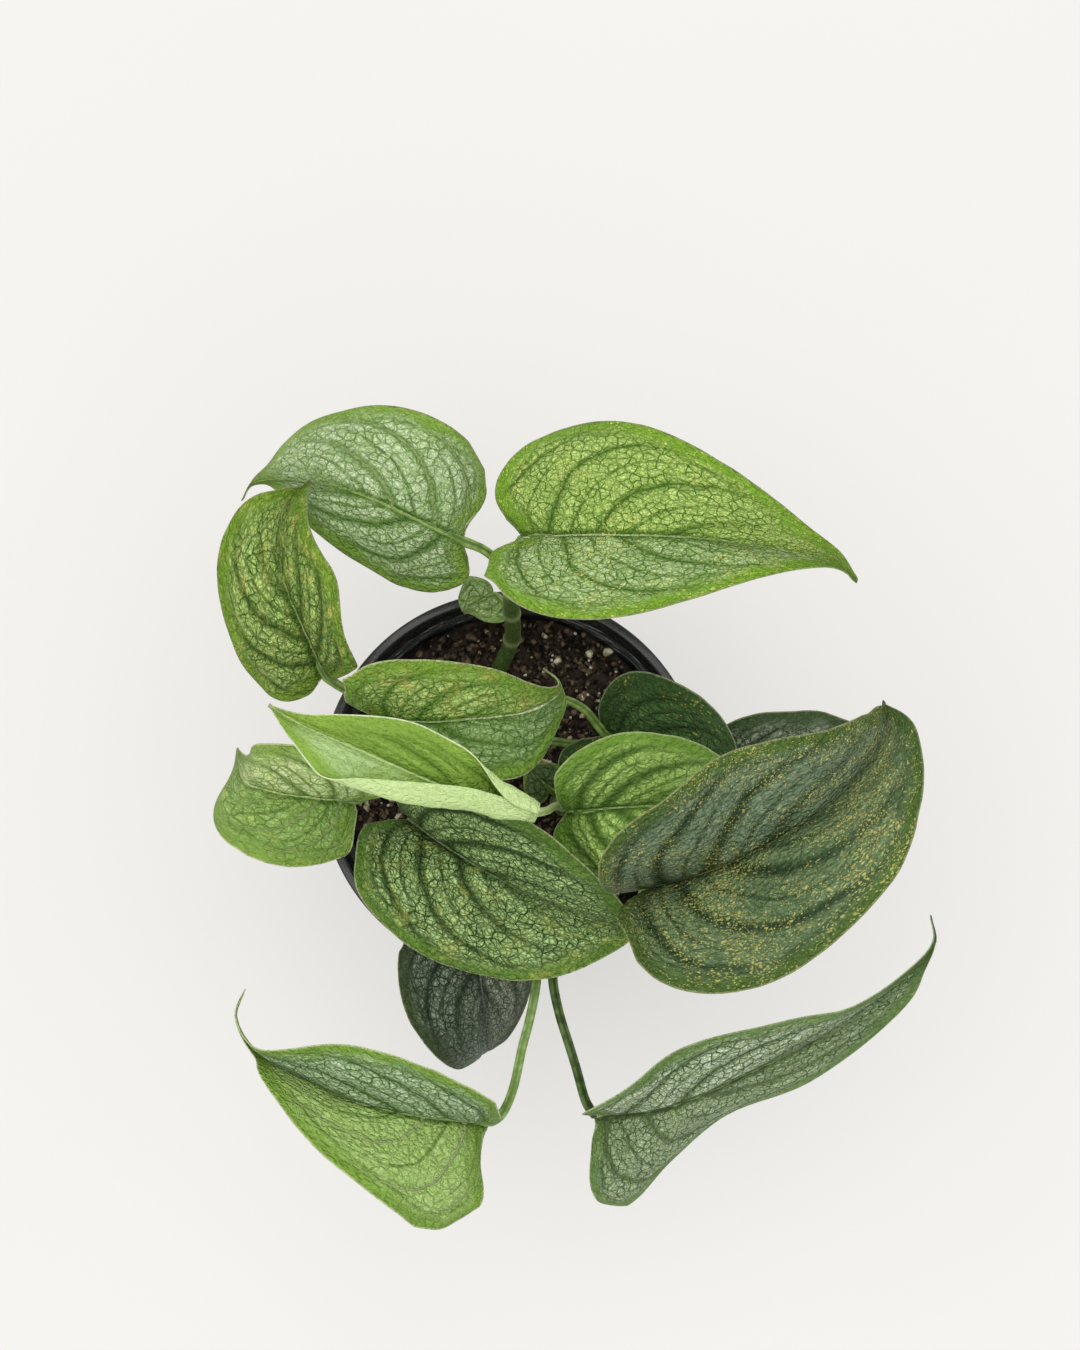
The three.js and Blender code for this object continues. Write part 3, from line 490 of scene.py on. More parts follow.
strewn_noise = strewn.node("ShaderNodeTexNoise", {}, {"Scale": GRAIN_LUMP_SCALE, "Detail": 2.0}, "Color")
strewn_sockets = {0: strewn_noise, 1: (0.5, 0.5, 0.5)}
strewn_even = strewn.node("ShaderNodeVectorMath", {"operation": "SUBTRACT"}, strewn_sockets)
strewn_sockets = {0: strewn_even, "Scale": strewn.given("Lumpiness")}
strewn_push = strewn.node("ShaderNodeVectorMath", {"operation": "SCALE"}, strewn_sockets)
strewn_lumpy = strewn.node("GeometryNodeSetPosition", {}, {"Geometry": strewn_real, "Offset": strewn_push})
strewn.end(strewn_lumpy, strewn.given("Finish"))


def soil_patch(radius):
    """The soil's surface within a radius, without the places where stems stand."""
    steps = int(radius / PATCH_STEP)
    line = np.linspace(-radius, radius, 2 * steps + 1)
    points = [(x, y, soil_height(x, y)) for y in line for x in line]
    faces = []
    for j in range(2 * steps):
        for i in range(2 * steps):
            x, y = line[i], line[j]
            near = min(math.hypot(x - a, y - b) for a, b in STEM_FEET.values())
            if math.hypot(x, y) < radius and near > STEM_CLEARANCE:
                a = j * (2 * steps + 1) + i
                faces.append((a, a + 1, a + 2 * steps + 2, a + 2 * steps + 1))
    return points, faces


def grain_finish(name, dark, light, rough):
    """Bits of one kind, each between two colours."""
    finish = Finish(name, roughness=rough, specular_ior_level=0.3)
    spot = finish.noise(finish.place(), 520.0, 2.0).step(0.38, 0.66)
    finish.connect("Base Color", finish.mix(dark, light, spot))
    finish.bump(finish.noise(finish.place(), 2500.0, 3.0), 0.0002)
    return finish


def lump(name, sides, rings_count, squash):
    """A small closed lump a metre across, to be strewn at its real size."""
    arc = np.linspace(0, math.pi, rings_count + 2)
    profile = [(0.5 * math.sin(a), -0.5 * squash * math.cos(a)) for a in arc]
    points, faces = turned(profile, sides)
    points[:, 1] *= 0.6 + 0.4 * squash
    return mesh_object(name, points * 1000, faces, [])


def strew(name, shape, density, smallest, largest, lumpiness, seed, finish):
    """Strews bits of one kind: so many a square metre, and from the smallest to the largest size and
    with lumps in millimetres."""
    patch_points, patch_faces = soil_patch(STREWN_RADIUS)
    grains = mesh_object(name, patch_points, patch_faces, [])
    strewn.run(
        grains,
        Grain=shape,
        Density=density,
        Smallest=smallest / 1000,
        Largest=largest / 1000,
        Lumpiness=lumpiness / 1000,
        Seed=seed,
        Finish=finish.material,
    )
    bpy.data.objects.remove(shape)
    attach(grains, "root")


crumb_finish = grain_finish("peat crumbs", "#080504", "#7d6a59", 0.95)
crumb = lump("crumb", sides=6, rings_count=3, squash=0.8)
strew("peat_crumbs", crumb, 280000.0, smallest=0.8, largest=2.6, lumpiness=1.2, seed=11, finish=crumb_finish)
chip_finish = grain_finish("bark chips", "#221a15", "#735c49", 0.85)
chip = lump("chip", sides=6, rings_count=2, squash=0.3)
strew("bark_chips", chip, 26000.0, smallest=2.2, largest=5.0, lumpiness=1.8, seed=23, finish=chip_finish)
tan_finish = grain_finish("tan grains", "#8d7656", "#f4ead2", 0.8)
stone = lump("stone", sides=8, rings_count=4, squash=0.75)
strew("tan_grains", stone, 16000.0, smallest=1.0, largest=3.8, lumpiness=3.0, seed=5, finish=tan_finish)
white_finish = grain_finish("white specks", "#b5a894", "#f4f0e6", 0.8)
speck = lump("speck", sides=6, rings_count=3, squash=0.8)
strew("white_specks", speck, 40000.0, smallest=0.5, largest=1.3, lumpiness=0.4, seed=31, finish=white_finish)

# Stems
# Five green vine stems that stand in the soil, each with a paler swollen ring at every node and fine
# lengthwise streaks. They are round rods that thicken at their nodes and close in a blunt growing end.
# Each has its radius, the points of its middle line and the heights of its nodes, in millimetres.
STEM_SIDES = 28
STEM_STEP = 0.6
NODE_SWELL = 0.16
NODE_HALF_HEIGHT = 1.5
STEMS = {
    "rear": (2.3, [[-6, 29, 62], [-4, 33, 80], [0, 41, 96], [0, 48, 118], [0, 54, 133]], [96, 115, 129]),
    "left": (2.1, [[-24, 0, 62], [-25, 2, 80], [-27, 7, 105], [-29, 10, 125]], [94, 110, 120]),
    "centre": (2.2, [[12.5, -3, 62], [13, -5, 80], [14, -6.5, 105], [14.5, -7.5, 122]], [87, 103, 117]),
    "right": (2.0, [[4, 4, 62], [5, 7, 80], [6, 11, 95], [7, 14, 107]], [94, 103]),
    "front": (2.3, [[9, -15, 62], [9, -19, 80], [10, -34, 95], [10.5, -45, 108]], [86, 93, 99, 104]),
}


def smooth(points, t):
    """The places at shares t of a smooth line through the points."""
    p = np.asarray(points, float)
    p = np.concatenate([[2 * p[0] - p[1]], p, [2 * p[-1] - p[-2]]])
    t = np.clip(np.asarray(t, float), 0, 1)
    spans = len(p) - 3
    k = np.minimum((t * spans).astype(int), spans - 1)
    w = t * spans - k
    w = w[..., None] if p.ndim > 1 else w
    a, b, c, d = p[k], p[k + 1], p[k + 2], p[k + 3]
    curve = (2 * a - 5 * b + 4 * c - d) * w**2 + (3 * b - a - 3 * c + d) * w**3
    return (2 * b + (c - a) * w + curve) / 2


def measured(points, step):
    """A smooth line's points at even distances, with those distances."""
    fine = smooth(points, np.linspace(0, 1, 1501))
    run = np.concatenate([[0], np.cumsum(np.linalg.norm(np.diff(fine, axis=0), axis=1))])
    at = np.linspace(0, run[-1], max(int(run[-1] / step), 4) + 1)
    return np.column_stack([np.interp(at, run, fine[:, k]) for k in range(3)]), at


rods = Tree("rod along a line", Sides=int, Finish=bpy.types.Material)
rods_line = rods.node("GeometryNodeMeshToCurve", {}, {"Mesh": rods.start.outputs[0]})
rods_width = rods.node("GeometryNodeInputNamedAttribute", {"data_type": "FLOAT"}, {"Name": "radius_m"})
rods_sockets = {"Resolution": rods.given("Sides"), "Radius": 1.0}
rods_ring = rods.node("GeometryNodeCurvePrimitiveCircle", {}, rods_sockets)
rods_sockets = {"Curve": rods_line, "Profile Curve": rods_ring, "Scale": rods_width, "Fill Caps": True}
rods_solid = rods.node("GeometryNodeCurveToMesh", {}, rods_sockets)
rods_smooth = rods.node("GeometryNodeSetShadeSmooth", {}, {"Geometry": rods_solid})
rods.end(rods_smooth, rods.given("Finish"))


def rod(name, points, radii, marks, sides, finish):
    """A round rod along points, with a radius and a mark from 0 to 1 at each of them."""
    made = mesh_object(name, points, [], [])
    made.data.edges.add(len(points) - 1)
    made.data.edges.foreach_set("vertices", [k for i in range(len(points) - 1) for k in (i, i + 1)])
    for key, values in (("radius_m", np.asarray(radii) / 1000), ("mark", marks)):
        attribute = made.data.attributes.new(key, "FLOAT", "POINT")
        attribute.data.foreach_set("value", np.asarray(values, np.float32))
    return rods.run(made, Sides=sides, Finish=finish.material)


stem_finish = Finish("stem", roughness=0.45, specular_ior_level=0.3)
stem_place = stem_finish.place()
stem_mark = stem_finish.node("ShaderNodeAttribute", {"attribute_name": "mark"}, {}, "Fac")
stem_streak = stem_finish.noise(stem_finish.stretch(stem_place, (2200, 2200, 160)), 1.0, 3.0)
stem_green = stem_finish.mix("#34491f", "#5f753b", stem_streak.step(0.35, 0.7))
stem_brown = stem_finish.noise(stem_place, 300.0, 4.0).step(0.56, 0.68) * 0.5
stem_green = stem_finish.mix(stem_green, "#4b4226", stem_brown)
stem_finish.connect("Base Color", stem_finish.mix(stem_green, "#93a06a", stem_mark * 0.75))
stem_finish.bump(stem_streak, 0.0002)
for stem_name, (radius, path, node_heights) in STEMS.items():
    points, run = measured(path, STEM_STEP)
    swell = sum(np.exp(-(((points[:, 2] - z) / NODE_HALF_HEIGHT) ** 2)) for z in node_heights)
    cap = np.sqrt(np.clip(1 - (np.clip(run - run[-1] + radius, 0, None) / radius) ** 2, 0.01, 1))
    radii = radius * (1 + NODE_SWELL * swell) * cap
    stem = rod(f"stem_of_{stem_name}_vine", points, radii, np.clip(swell, 0, 1), STEM_SIDES, stem_finish)
    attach(stem, "root")
    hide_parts(f"stem_{stem_name}")

# Leaves of the rear vine
# Two large leaves that spread to the left and right above the pot's far side, and a small round one at
# their foot. Each is one soft blade, heart-shaped and lifted on both sides of a sunken midrib, which
# runs on from its channelled stalk. The stalk's foot sheathes the stem.
BLADE_THICKNESS = 0.56
EDGE_THICKNESS = 0.34
EDGE_BULGE = 0.35
THICK_FROM_EDGE = 6.0
BLADE_ROWS = 84
BLADE_COLUMNS = np.concatenate([[0, 0.011, 0.024, 0.042, 0.068], np.linspace(0.1, 1, 24)])
RIB_STEP = 0.5
LEAF_OUTLINE = [
    [-0.055, 0.15], [-0.09, 0.34], [-0.08, 0.58], [-0.02, 0.82], [0.09, 0.97], [0.23, 1.0],
    [0.4, 0.92], [0.57, 0.74], [0.72, 0.5], [0.84, 0.26], [0.93, 0.1], [1.0, 0.0],
]
TIP_HALF_WIDTH = 0.5
SLIM_FROM = 0.35
SLIM_TO = 0.85
STRAIGHT_CURL = 0.001
VEIN_CROWDING = 0.75
VEIN_POWER = 2.4
VEIN_SWEEP = 1.25
SIDE_VEINS = 5
SIDE_VEIN_SHIFT = 0.4
SIDE_VEIN_SLANT = 1.4
SIDE_VEIN_HOOK = 1.5
SLANT_FULL_FROM = 0.35
RIB_GROOVE_DEPTH = 0.6
RIB_GROOVE_WIDTH = 1.5
PUCKERS_PER_MM = 0.33
QUILT_FROM_EDGE = 5
QUILT_FROM_RIB = 4
PUCKER_FROM_EDGE = 3
LEAF_SHAPE = {"quilt": 0.7, "pucker": 0.4, "ripple": 0.5, "waves": 9.0, "ragged": 0.01}


def directions(points, side):
    """The forward, side and up directions along a line, from a first side direction."""
    forward = np.gradient(points, axis=0)
    forward /= np.linalg.norm(forward, axis=1)[:, None]
    sides = []
    for ahead in forward:
        side = side - side @ ahead * ahead
        side = side / np.linalg.norm(side)
        sides.append(side)
    sides = np.array(sides)
    return forward, sides, np.cross(forward, sides)


def eased(share):
    """A share that starts and ends smoothly at 0 and 1."""
    share = np.clip(share, 0, 1)
    return share * share * (3 - 2 * share)


def blade_sheet(leaf):
    """The blade's middle sheet as a grid of points in rows along its side veins, with for each point its
    share round the outline and outwards, its distances along and across, and its directions."""
    rib, run = measured(leaf["rib"], RIB_STEP)
    length = run[-1]
    start_side = np.cross([0, 0, 1.0], rib[1] - rib[0])
    frames = [rib, *directions(rib, start_side)]
    e = np.linspace(0, 1, BLADE_ROWS + 1)[:, None]
    s = np.concatenate([BLADE_COLUMNS[:0:-1], -BLADE_COLUMNS])[None, :]
    left = s > 0
    share_out = np.abs(s)

    def halves(key, usual):
        """One value for each half."""
        return np.where(left, leaf["left"].get(key, usual), leaf["right"].get(key, usual))

    def along(key, usual, share):
        """A value for each half that changes from base to tip, given as a number or a list."""
        lists = [np.atleast_1d(leaf[half].get(key, usual)) for half in ("left", "right")]
        return np.where(left, *(smooth(v if len(v) > 1 else v.repeat(2), share) for v in lists))

    mark = smooth(LEAF_OUTLINE, e[:, 0])
    start = length * ((1 - VEIN_CROWDING) * e + VEIN_CROWDING * e**VEIN_POWER)
    fade = eased((e - SLIM_FROM) / (SLIM_TO - SLIM_FROM))
    width = leaf["width"] * halves("wide", 1.0)
    reach = mark[:, 1:] * width * along("trim", 1, e) * (1 - fade * halves("slim", 0.0))
    reach = np.maximum(reach, TIP_HALF_WIDTH)
    wobble = [noise.noise(Vector((3.1 * k, leaf["seed"], 0))) for k in np.linspace(0, 9, BLADE_ROWS + 1)]
    reach = reach * (1 + leaf["ragged"] * np.array(wobble)[:, None] * np.where(left, 1, -1))
    ahead = np.where(mark[:, :1] < 0, mark[:, :1] * halves("lobe", 1.0), mark[:, :1])
    ahead = ahead + (halves("sweep", 1.0) - 1) * np.sin(math.pi * e)
    ahead = ahead + along("shift", 0, e)
    distance = start + (ahead * length - start) * share_out**VEIN_SWEEP
    out = reach * share_out

    # Each row of the sheet goes straight out from the midrib at first, then along an arc, and straight
    # on where a roll ends.
    share = np.clip(distance / length, 0, 1)
    lift = np.radians(along("lift", 0, share))
    curl = np.radians(along("curl", 0, share))
    bend = width / np.where(np.abs(curl) < STRAIGHT_CURL, STRAIGHT_CURL, curl)
    straight = np.minimum(out, along("flat", 0, share))
    arc = np.minimum(out - straight, np.abs(bend) * np.radians(halves("turn", 360)))
    loose = out - straight - arc
    end = lift - arc / bend
    across = straight * np.cos(lift) + bend * (np.sin(lift) - np.sin(end)) + loose * np.cos(end)
    rise = straight * np.sin(lift) + bend * (np.cos(end) - np.cos(lift)) + loose * np.sin(end)
    at = np.clip(distance / RIB_STEP, 0, len(rib) - 1)
    low = np.minimum(at.astype(int), len(rib) - 2)
    part = (at - low)[..., None]
    place, forward, side, up = (f[low] * (1 - part) + f[low + 1] * part for f in frames)
    place = place + forward * np.minimum(distance, 0)[..., None]
    place = place + side * np.where(left, across, -across)[..., None] + up * rise[..., None]
    grid = {"e": e + 0 * s, "s": s + 0 * e, "along": distance, "out": out * np.sign(s)}
    return grid | {"place": place, "length": length, "frames": frames}


def blade_normals(place):
    """The upward direction at each point of a sheet."""
    normal = np.cross(np.gradient(place, axis=1), np.gradient(place, axis=0))
    return normal / np.maximum(np.linalg.norm(normal, axis=2), 1e-9)[..., None]


def vein_count(grid):
    """How many side veins lie before each point of a blade, and how many millimetres each takes there.
    Side veins leave the midrib at a slant and turn along the margin."""
    turn = eased(grid["e"] / SLANT_FULL_FROM)
    out = np.abs(grid["s"])
    hook = SIDE_VEIN_HOOK * out**5 * (1 - grid["e"] ** 2)
    count = SIDE_VEINS * grid["e"] - turn * (SIDE_VEIN_SLANT * out + hook)
    down, over = (np.gradient(grid["place"], axis=k) for k in (0, 1))
    count_down, count_over = (np.gradient(count, axis=k) for k in (0, 1))
    half = grid["s"].shape[1] // 2
    count_over[:, half] = count_over[:, half - 1]
    dd, do, oo = (np.sum(a * b, axis=2) for a, b in ((down, down), (down, over), (over, over)))
    slope = oo * count_down**2 - 2 * do * count_down * count_over + dd * count_over**2
    slope = np.sqrt(np.maximum(slope, 0) / np.maximum(dd * oo - do * do, 1e-9))
    return count, 1 / np.maximum(slope, 0.02)


def relief(leaf, grid):
    """The height of the blade's own relief: the sunken midrib and side veins, the puckers between them
    and the waved margin. It also sets the grid's distance to the edge, its count of side veins and where
    each point lies in the net of small veins, in millimetres."""
    place = grid["place"]
    border = np.concatenate([place[0], place[:, 0], place[:, -1], place[-1]])
    edge = np.min(np.linalg.norm(place[:, :, None] - border[None, None], axis=3), axis=2)
    veins, spacing = vein_count(grid)
    vein_way = np.stack([grid["e"] * grid["length"] * 0.9, grid["s"] * leaf["width"]], axis=2)
    flat_way = np.stack([grid["along"], grid["out"]], axis=2)
    net = 0.5 * vein_way + 0.5 * flat_way
    grid |= {"edge": edge, "veins": veins, "spacing": spacing, "net": net}
    phase = veins + np.where(grid["s"] > 0, SIDE_VEIN_SHIFT, 0.0)
    near = np.abs(phase % 1 - 0.5) * spacing
    arch = 1 - np.exp(-((near / (0.2 * spacing + 0.6)) ** 2))
    inner = np.clip(edge / QUILT_FROM_EDGE, 0, 1) * np.clip(np.abs(grid["out"]) / QUILT_FROM_RIB, 0, 1)
    height = leaf["quilt"] * (arch - 0.5) * inner
    height -= RIB_GROOVE_DEPTH * np.exp(-((grid["out"] / RIB_GROOVE_WIDTH) ** 2)) * (1 - grid["e"])
    spots = (Vector((x, y, leaf["seed"])) * PUCKERS_PER_MM for x, y in net.reshape(-1, 2))
    pucker = np.array([noise.noise(spot) for spot in spots])
    height += leaf["pucker"] * pucker.reshape(height.shape) * np.clip(edge / PUCKER_FROM_EDGE, 0, 1)
    waves = np.array([noise.noise(Vector((k * leaf["waves"], leaf["seed"], 7))) for k in grid["e"][:, 0]])
    height += leaf["ripple"] * waves[:, None] * np.where(grid["s"] > 0, 1, -1) * np.abs(grid["s"]) ** 5
    return height


def grid_faces(rows, columns, first, flip):
    """The faces of a grid of points that starts at a first point."""
    faces = []
    for i in range(rows - 1):
        for j in range(columns - 1):
            a = first + i * columns + j
            face = (a, a + columns, a + columns + 1, a + 1)
            faces.append(face[::-1] if flip else face)
    return faces


def blade(leaf, grid):
    """The blade's points and faces, two skins and a rounded rim between them, and the rim's way round
    the grid's points."""
    height = relief(leaf, grid)
    sheet = grid["place"] + blade_normals(grid["place"]) * height[..., None]
    normal = blade_normals(sheet)
    inward = np.clip(grid["edge"] / THICK_FROM_EDGE, 0, 1)
    thick = EDGE_THICKNESS + (BLADE_THICKNESS - EDGE_THICKNESS) * inward
    half = normal * thick[..., None] / 2
    rows, columns = sheet.shape[:2]
    count = rows * columns
    faces = grid_faces(rows, columns, 0, False) + grid_faces(rows, columns, count, True)
    loop = list(range(columns)) + [i * columns + columns - 1 for i in range(1, rows)]
    loop += [(rows - 1) * columns + j for j in range(columns - 2, -1, -1)]
    loop += [i * columns for i in range(rows - 2, 0, -1)]
    flat = sheet.reshape(-1, 3)
    rim = flat[loop]
    ahead = np.roll(rim, -1, axis=0) - np.roll(rim, 1, axis=0)
    outward = np.cross(ahead, normal.reshape(-1, 3)[loop])
    outward /= np.linalg.norm(outward, axis=1)[:, None] + 1e-9
    if np.sum((rim - flat.mean(axis=0)) * outward) < 0:
        outward = -outward
    for k, a in enumerate(loop):
        m = (k + 1) % len(loop)
        b = loop[m]
        faces.append((a, b, 2 * count + m, 2 * count + k))
        faces.append((2 * count + k, 2 * count + m, count + b, count + a))
    skins = [(sheet + half).reshape(-1, 3), (sheet - half).reshape(-1, 3)]
    return np.concatenate([*skins, rim + outward * EDGE_THICKNESS * EDGE_BULGE]), faces, loop


STALK_SIDES = 16
STALK_STEP = 1.2
STALK_CHANNEL = 0.34
CHANNEL_HALF_ANGLE = 0.5
STALK_END = 0.93
STALK_SUNK = 0.8
STALK_BELOW_BLADE = 0.9
STALK_THINNING = 0.86
RIB_ROWS_PER_STALK_ROW = 6
FOOT_SWELL = 0.5
FOOT_SHORTNESS = 9
JOINT_SWELL = 0.12


def stalk(leaf, grid):
    """The stalk from inside its stem to the blade and on under the midrib, with a channel on its top."""
    rib, _, rib_sides, rib_ups = grid["frames"]
    side, up = rib_sides[0], rib_ups[0]
    radius = leaf["stalk_radius"]
    lead, _ = measured([*leaf["stalk"], rib[0] - up * radius * STALK_BELOW_BLADE], STALK_STEP)
    rows = slice(RIB_ROWS_PER_STALK_ROW, int(len(rib) * STALK_END), RIB_ROWS_PER_STALK_ROW)
    under = rib[rows]
    taper = radius * (1 - STALK_THINNING * np.linspace(0.02, 1, len(under)) ** 0.7)
    under = under - rib_ups[rows] * (taper * STALK_SUNK)[:, None]
    line = np.concatenate([lead[:-1], under])
    shares = np.linspace(0, 1, len(lead) - 1)
    joint = JOINT_SWELL * np.exp(-(((shares - 1) / 0.1) ** 2))
    foot = radius * (1 + FOOT_SWELL * np.exp(-shares * FOOT_SHORTNESS) + joint)
    _, sides, ups = directions(line[::-1], side)
    sides, ups = sides[::-1], -ups[::-1]
    if ups[len(lead) - 1] @ up < 0:
        ups = -ups
    angles = np.linspace(0, 2 * math.pi, STALK_SIDES, endpoint=False)
    points, channel = [], []
    for k, (centre, radius_here) in enumerate(zip(line, np.concatenate([foot, taper]))):
        for a in angles:
            dip = math.exp(-(((a - math.pi / 2) / CHANNEL_HALF_ANGLE) ** 2))
            r = radius_here * (1 - STALK_CHANNEL * dip)
            points.append(centre + sides[k] * r * math.cos(a) + ups[k] * r * math.sin(a))
            channel.append(dip)
    faces = []
    n = STALK_SIDES
    for k in range(len(line) - 1):
        for i in range(n):
            j = (i + 1) % n
            faces.append((k * n + i, k * n + j, (k + 1) * n + j, (k + 1) * n + i))
    faces.append(tuple(range(n))[::-1])
    faces.append(tuple((len(line) - 1) * n + i for i in range(n)))
    return np.array(points), faces, channel


def leaf_piece(name, leaf, finish, skin):
    """A whole leaf as one object: the blade with its thickness and relief, and its stalk. Its vertices
    carry what the finishes read: the side veins, the distances to midrib and edge, and the net."""
    leaf = LEAF_SHAPE | {"seed": len(name) + leaf["width"]} | leaf
    grid = blade_sheet(leaf)
    blade_points, faces, loop = blade(leaf, grid)
    stalk_points, stalk_faces, channel = stalk(leaf, grid)
    slots = [0] * len(faces) + [1] * len(stalk_faces)
    faces += [tuple(len(blade_points) + i for i in face) for face in stalk_faces]
    made = mesh_object(name, np.concatenate([blade_points, stalk_points]), faces, [finish, skin])
    made.data.polygons.foreach_set("material_index", slots)
    upper = np.ones_like(grid["e"])
    on_stalk = np.zeros((len(stalk_points), 3))
    on_stalk[:, 0] = channel
    layers = {
        "vein": (grid["veins"], grid["s"], grid["spacing"]),
        "spot": (grid["e"], grid["out"], grid["edge"]),
        "net": (grid["net"][..., 0], grid["net"][..., 1], upper),
    }
    for key, parts in layers.items():
        top = np.stack(parts, axis=2).reshape(-1, 3)
        below, rim = ([1, 1, -1], [1, 1, 0]) if key == "net" else ([1, 1, 1], [1, 1, 1])
        values = np.concatenate([top, top * below, top[loop] * rim, on_stalk]).astype(np.float32)
        made.data.attributes.new(key, "FLOAT_VECTOR", "POINT").data.foreach_set("vector", values.ravel())
    return made


LEAF_LOOK = {
    "green": "#7a9d36",
    "vein": "#446618",
    "silver": "#bcd886",
    "edge": "#83ab34",
    "rib": "#a9be7c",
    "rim": "#959a6b",
    "under": "#b6cd8c",
    "yellow": "#c3cc52",
    "scorch": "#c9c862",
    "silvering": 0.9,
    "edge_width": 5.0,
    "net": 0.85,
    "fine_net": 0.45,
    "side_vein": 0.9,
    "side_band": 0.55,
    "side_vein_width": 1.3,
    "pale_vein": 0.0,
    "rib_width": 0.36,
    "rib_end": 0.95,
    "rib_shade": 2.2,
    "mottle": 0.0,
    "mottle_size": 12.0,
    "specks": 0.0,
    "speck_size": 0.9,
    "speck_share": 0.35,
    "rough": 0.42,
    "grain": 0.45,
    "relief": 1.0,
}
PANELS_PER_MM = 0.45
DOMES_PER_MM = 0.9
NET_BEND = (1.7, 1.7, 0)
LEAF_BUMP = 0.0011


class LeafFinish(Finish):
    """A blade's finish: a net of darker veins over silvery panels, inside a plain green margin. A look
    that ends in _left holds for the left half alone."""

    def __init__(self, name, **given):
        super().__init__(name, specular_ior_level=0.22)
        self.look = LEAF_LOOK | given
        vein, spot, net = (self.attribute(key) for key in ("vein", "spot", "net"))
        self.count, s, self.spacing = (vein.part(k) for k in range(3))
        self.e, self.out, self.edge = (spot.part(k) for k in range(3))
        self.left, self.away = s.above(0), abs(s)
        self.flat = self.stretch(net, (1, 1, 0))
        sockets = {0: self.noise(self.flat, 0.5, 3.0, 0.55, output="Color"), 1: NET_BEND, 2: self.flat}
        self.bent = self.node("ShaderNodeVectorMath", {"operation": "MULTIPLY_ADD"}, sockets)
        self.broad = self.noise(self.flat, 0.045, 2.0)
        self.medium = self.noise(self.bent, 0.16, 3.0)
        self.fine = self.noise(self.bent, 1.3, 3.0, 0.6)
        edge_width = self.look["edge_width"]
        self.margin = (self.edge + (self.medium - 0.5) * 6).step(edge_width * 1.3, edge_width * 0.3)
        self.shade = abs(self.out).step(self.look["rib_shade"], 0.3) * self.e.step(0.95, 0.4)
        self.find_side_veins()
        self.find_net()
        surface = self.with_rib(self.with_specks(self.with_mottle(self.panelled())))
        veins = self.lines * 0.12 + self.side_vein * 0.22
        lower = self.mix(self.look["under"], self.look["green"], veins)
        self.connect("Base Color", self.mix(surface, lower, net.part(2).step(0.3, -0.3)))
        self.connect("Roughness", self.look["rough"] + self.medium * 0.16 - self.shade * 0.05)
        height = self.panels.step(0.0, 0.4) * 0.6 + self.domes.step(0.0, 0.4) * 0.3
        self.bump(height + self.fine * 0.3 - self.side_vein * 0.4, LEAF_BUMP * self.look["relief"])

    def used(self, key):
        return max(self.look[key], self.look.get(key + "_left", 0)) > 0

    def half(self, key):
        """What the look says for each half: a colour or a number."""
        usual = self.look[key]
        other = self.look.get(key + "_left", usual)
        if other == usual:
            return usual
        if isinstance(usual, str):
            return self.mix(usual, other, self.left)
        return self.left * other + (1 - self.left) * usual

    def find_side_veins(self):
        """The side veins with the dark band along each, the weaker ones half-way between them, and the
        vein that collects them along the margin."""
        phase = self.count + self.left * SIDE_VEIN_SHIFT + (self.noise(self.flat, 0.09, 2.0) - 0.5) * 0.2
        width = self.look["side_vein_width"] * (1.2 - self.away * 0.7)
        rough_line = (self.fine - 0.5) * 0.35
        near = abs(phase.fraction() - 0.5) * self.spacing / width + rough_line
        near_half = abs((phase + 0.5).fraction() - 0.5) * self.spacing / width + rough_line
        fade = self.away.step(1.0, 0.75) * self.e.step(0.9, 0.55) * self.spacing.step(1.5, 5.0)
        self.side_core = near.step(0.55, 0.1) * fade
        band = near.step(1.8, 0.1) * fade * self.half("side_band")
        half_vein = near_half.step(0.5, 0.1) * 0.55 * self.away.step(0.9, 0.5) * fade
        ring = self.edge - self.look["edge_width"] * 0.95 + (self.medium - 0.5) * 3
        collector = abs(ring).step(0.8, 0.15) * self.e.step(0.9, 0.6)
        self.side_vein = band.larger(self.side_core * 0.9).larger(half_vein).larger(collector * 0.4)

    def find_net(self):
        """The net of small veins, wide and fine, and the tone of each panel between them."""
        self.panels = self.cells(self.bent, PANELS_PER_MM, "DISTANCE_TO_EDGE")
        self.domes = self.cells(self.bent, DOMES_PER_MM, "DISTANCE_TO_EDGE")
        worn = self.noise(self.flat, 0.22, 2.0).step(0.25, 0.6)
        wide_net = self.panels.step(0.12, 0.02) * (0.4 + worn * 0.6)
        self.lines = wide_net.larger(self.domes.step(0.18, 0.03) * self.half("fine_net"))
        panel_tone = self.cells(self.bent, PANELS_PER_MM, "F1", "Color").part(0)
        dome_tone = self.cells(self.bent, DOMES_PER_MM, "F1", "Color").part(0)
        self.tone = panel_tone * 0.42 + dome_tone * 0.38

    def panelled(self):
        """The green margin, the silvery panels and the dark veins."""
        open_skin = (1 - self.margin) * (1 - self.side_vein * 0.8) * (1 - self.shade)
        tone = 0.44 + self.tone + self.broad * 0.25 + (self.fine - 0.5) * self.look["grain"]
        silvering = self.half("silvering") * open_skin * tone * (1 - self.lines * self.half("net"))
        surface = self.mix(self.half("green"), self.half("edge"), self.margin * 0.9)
        surface = self.mix(surface, self.half("vein"), self.broad.step(0.75, 0.25) * 0.25)
        surface = self.mix(surface, self.half("silver"), silvering)
        dark = self.lines * self.half("net") * (1 - self.margin * 0.7) * 0.95
        surface = self.mix(surface, self.half("vein"), dark)
        dark = self.side_vein * self.half("side_vein") * (1 - self.margin * 0.4)
        surface = self.mix(surface, self.half("vein"), dark)
        return self.mix(surface, self.half("vein"), self.shade * 0.8)

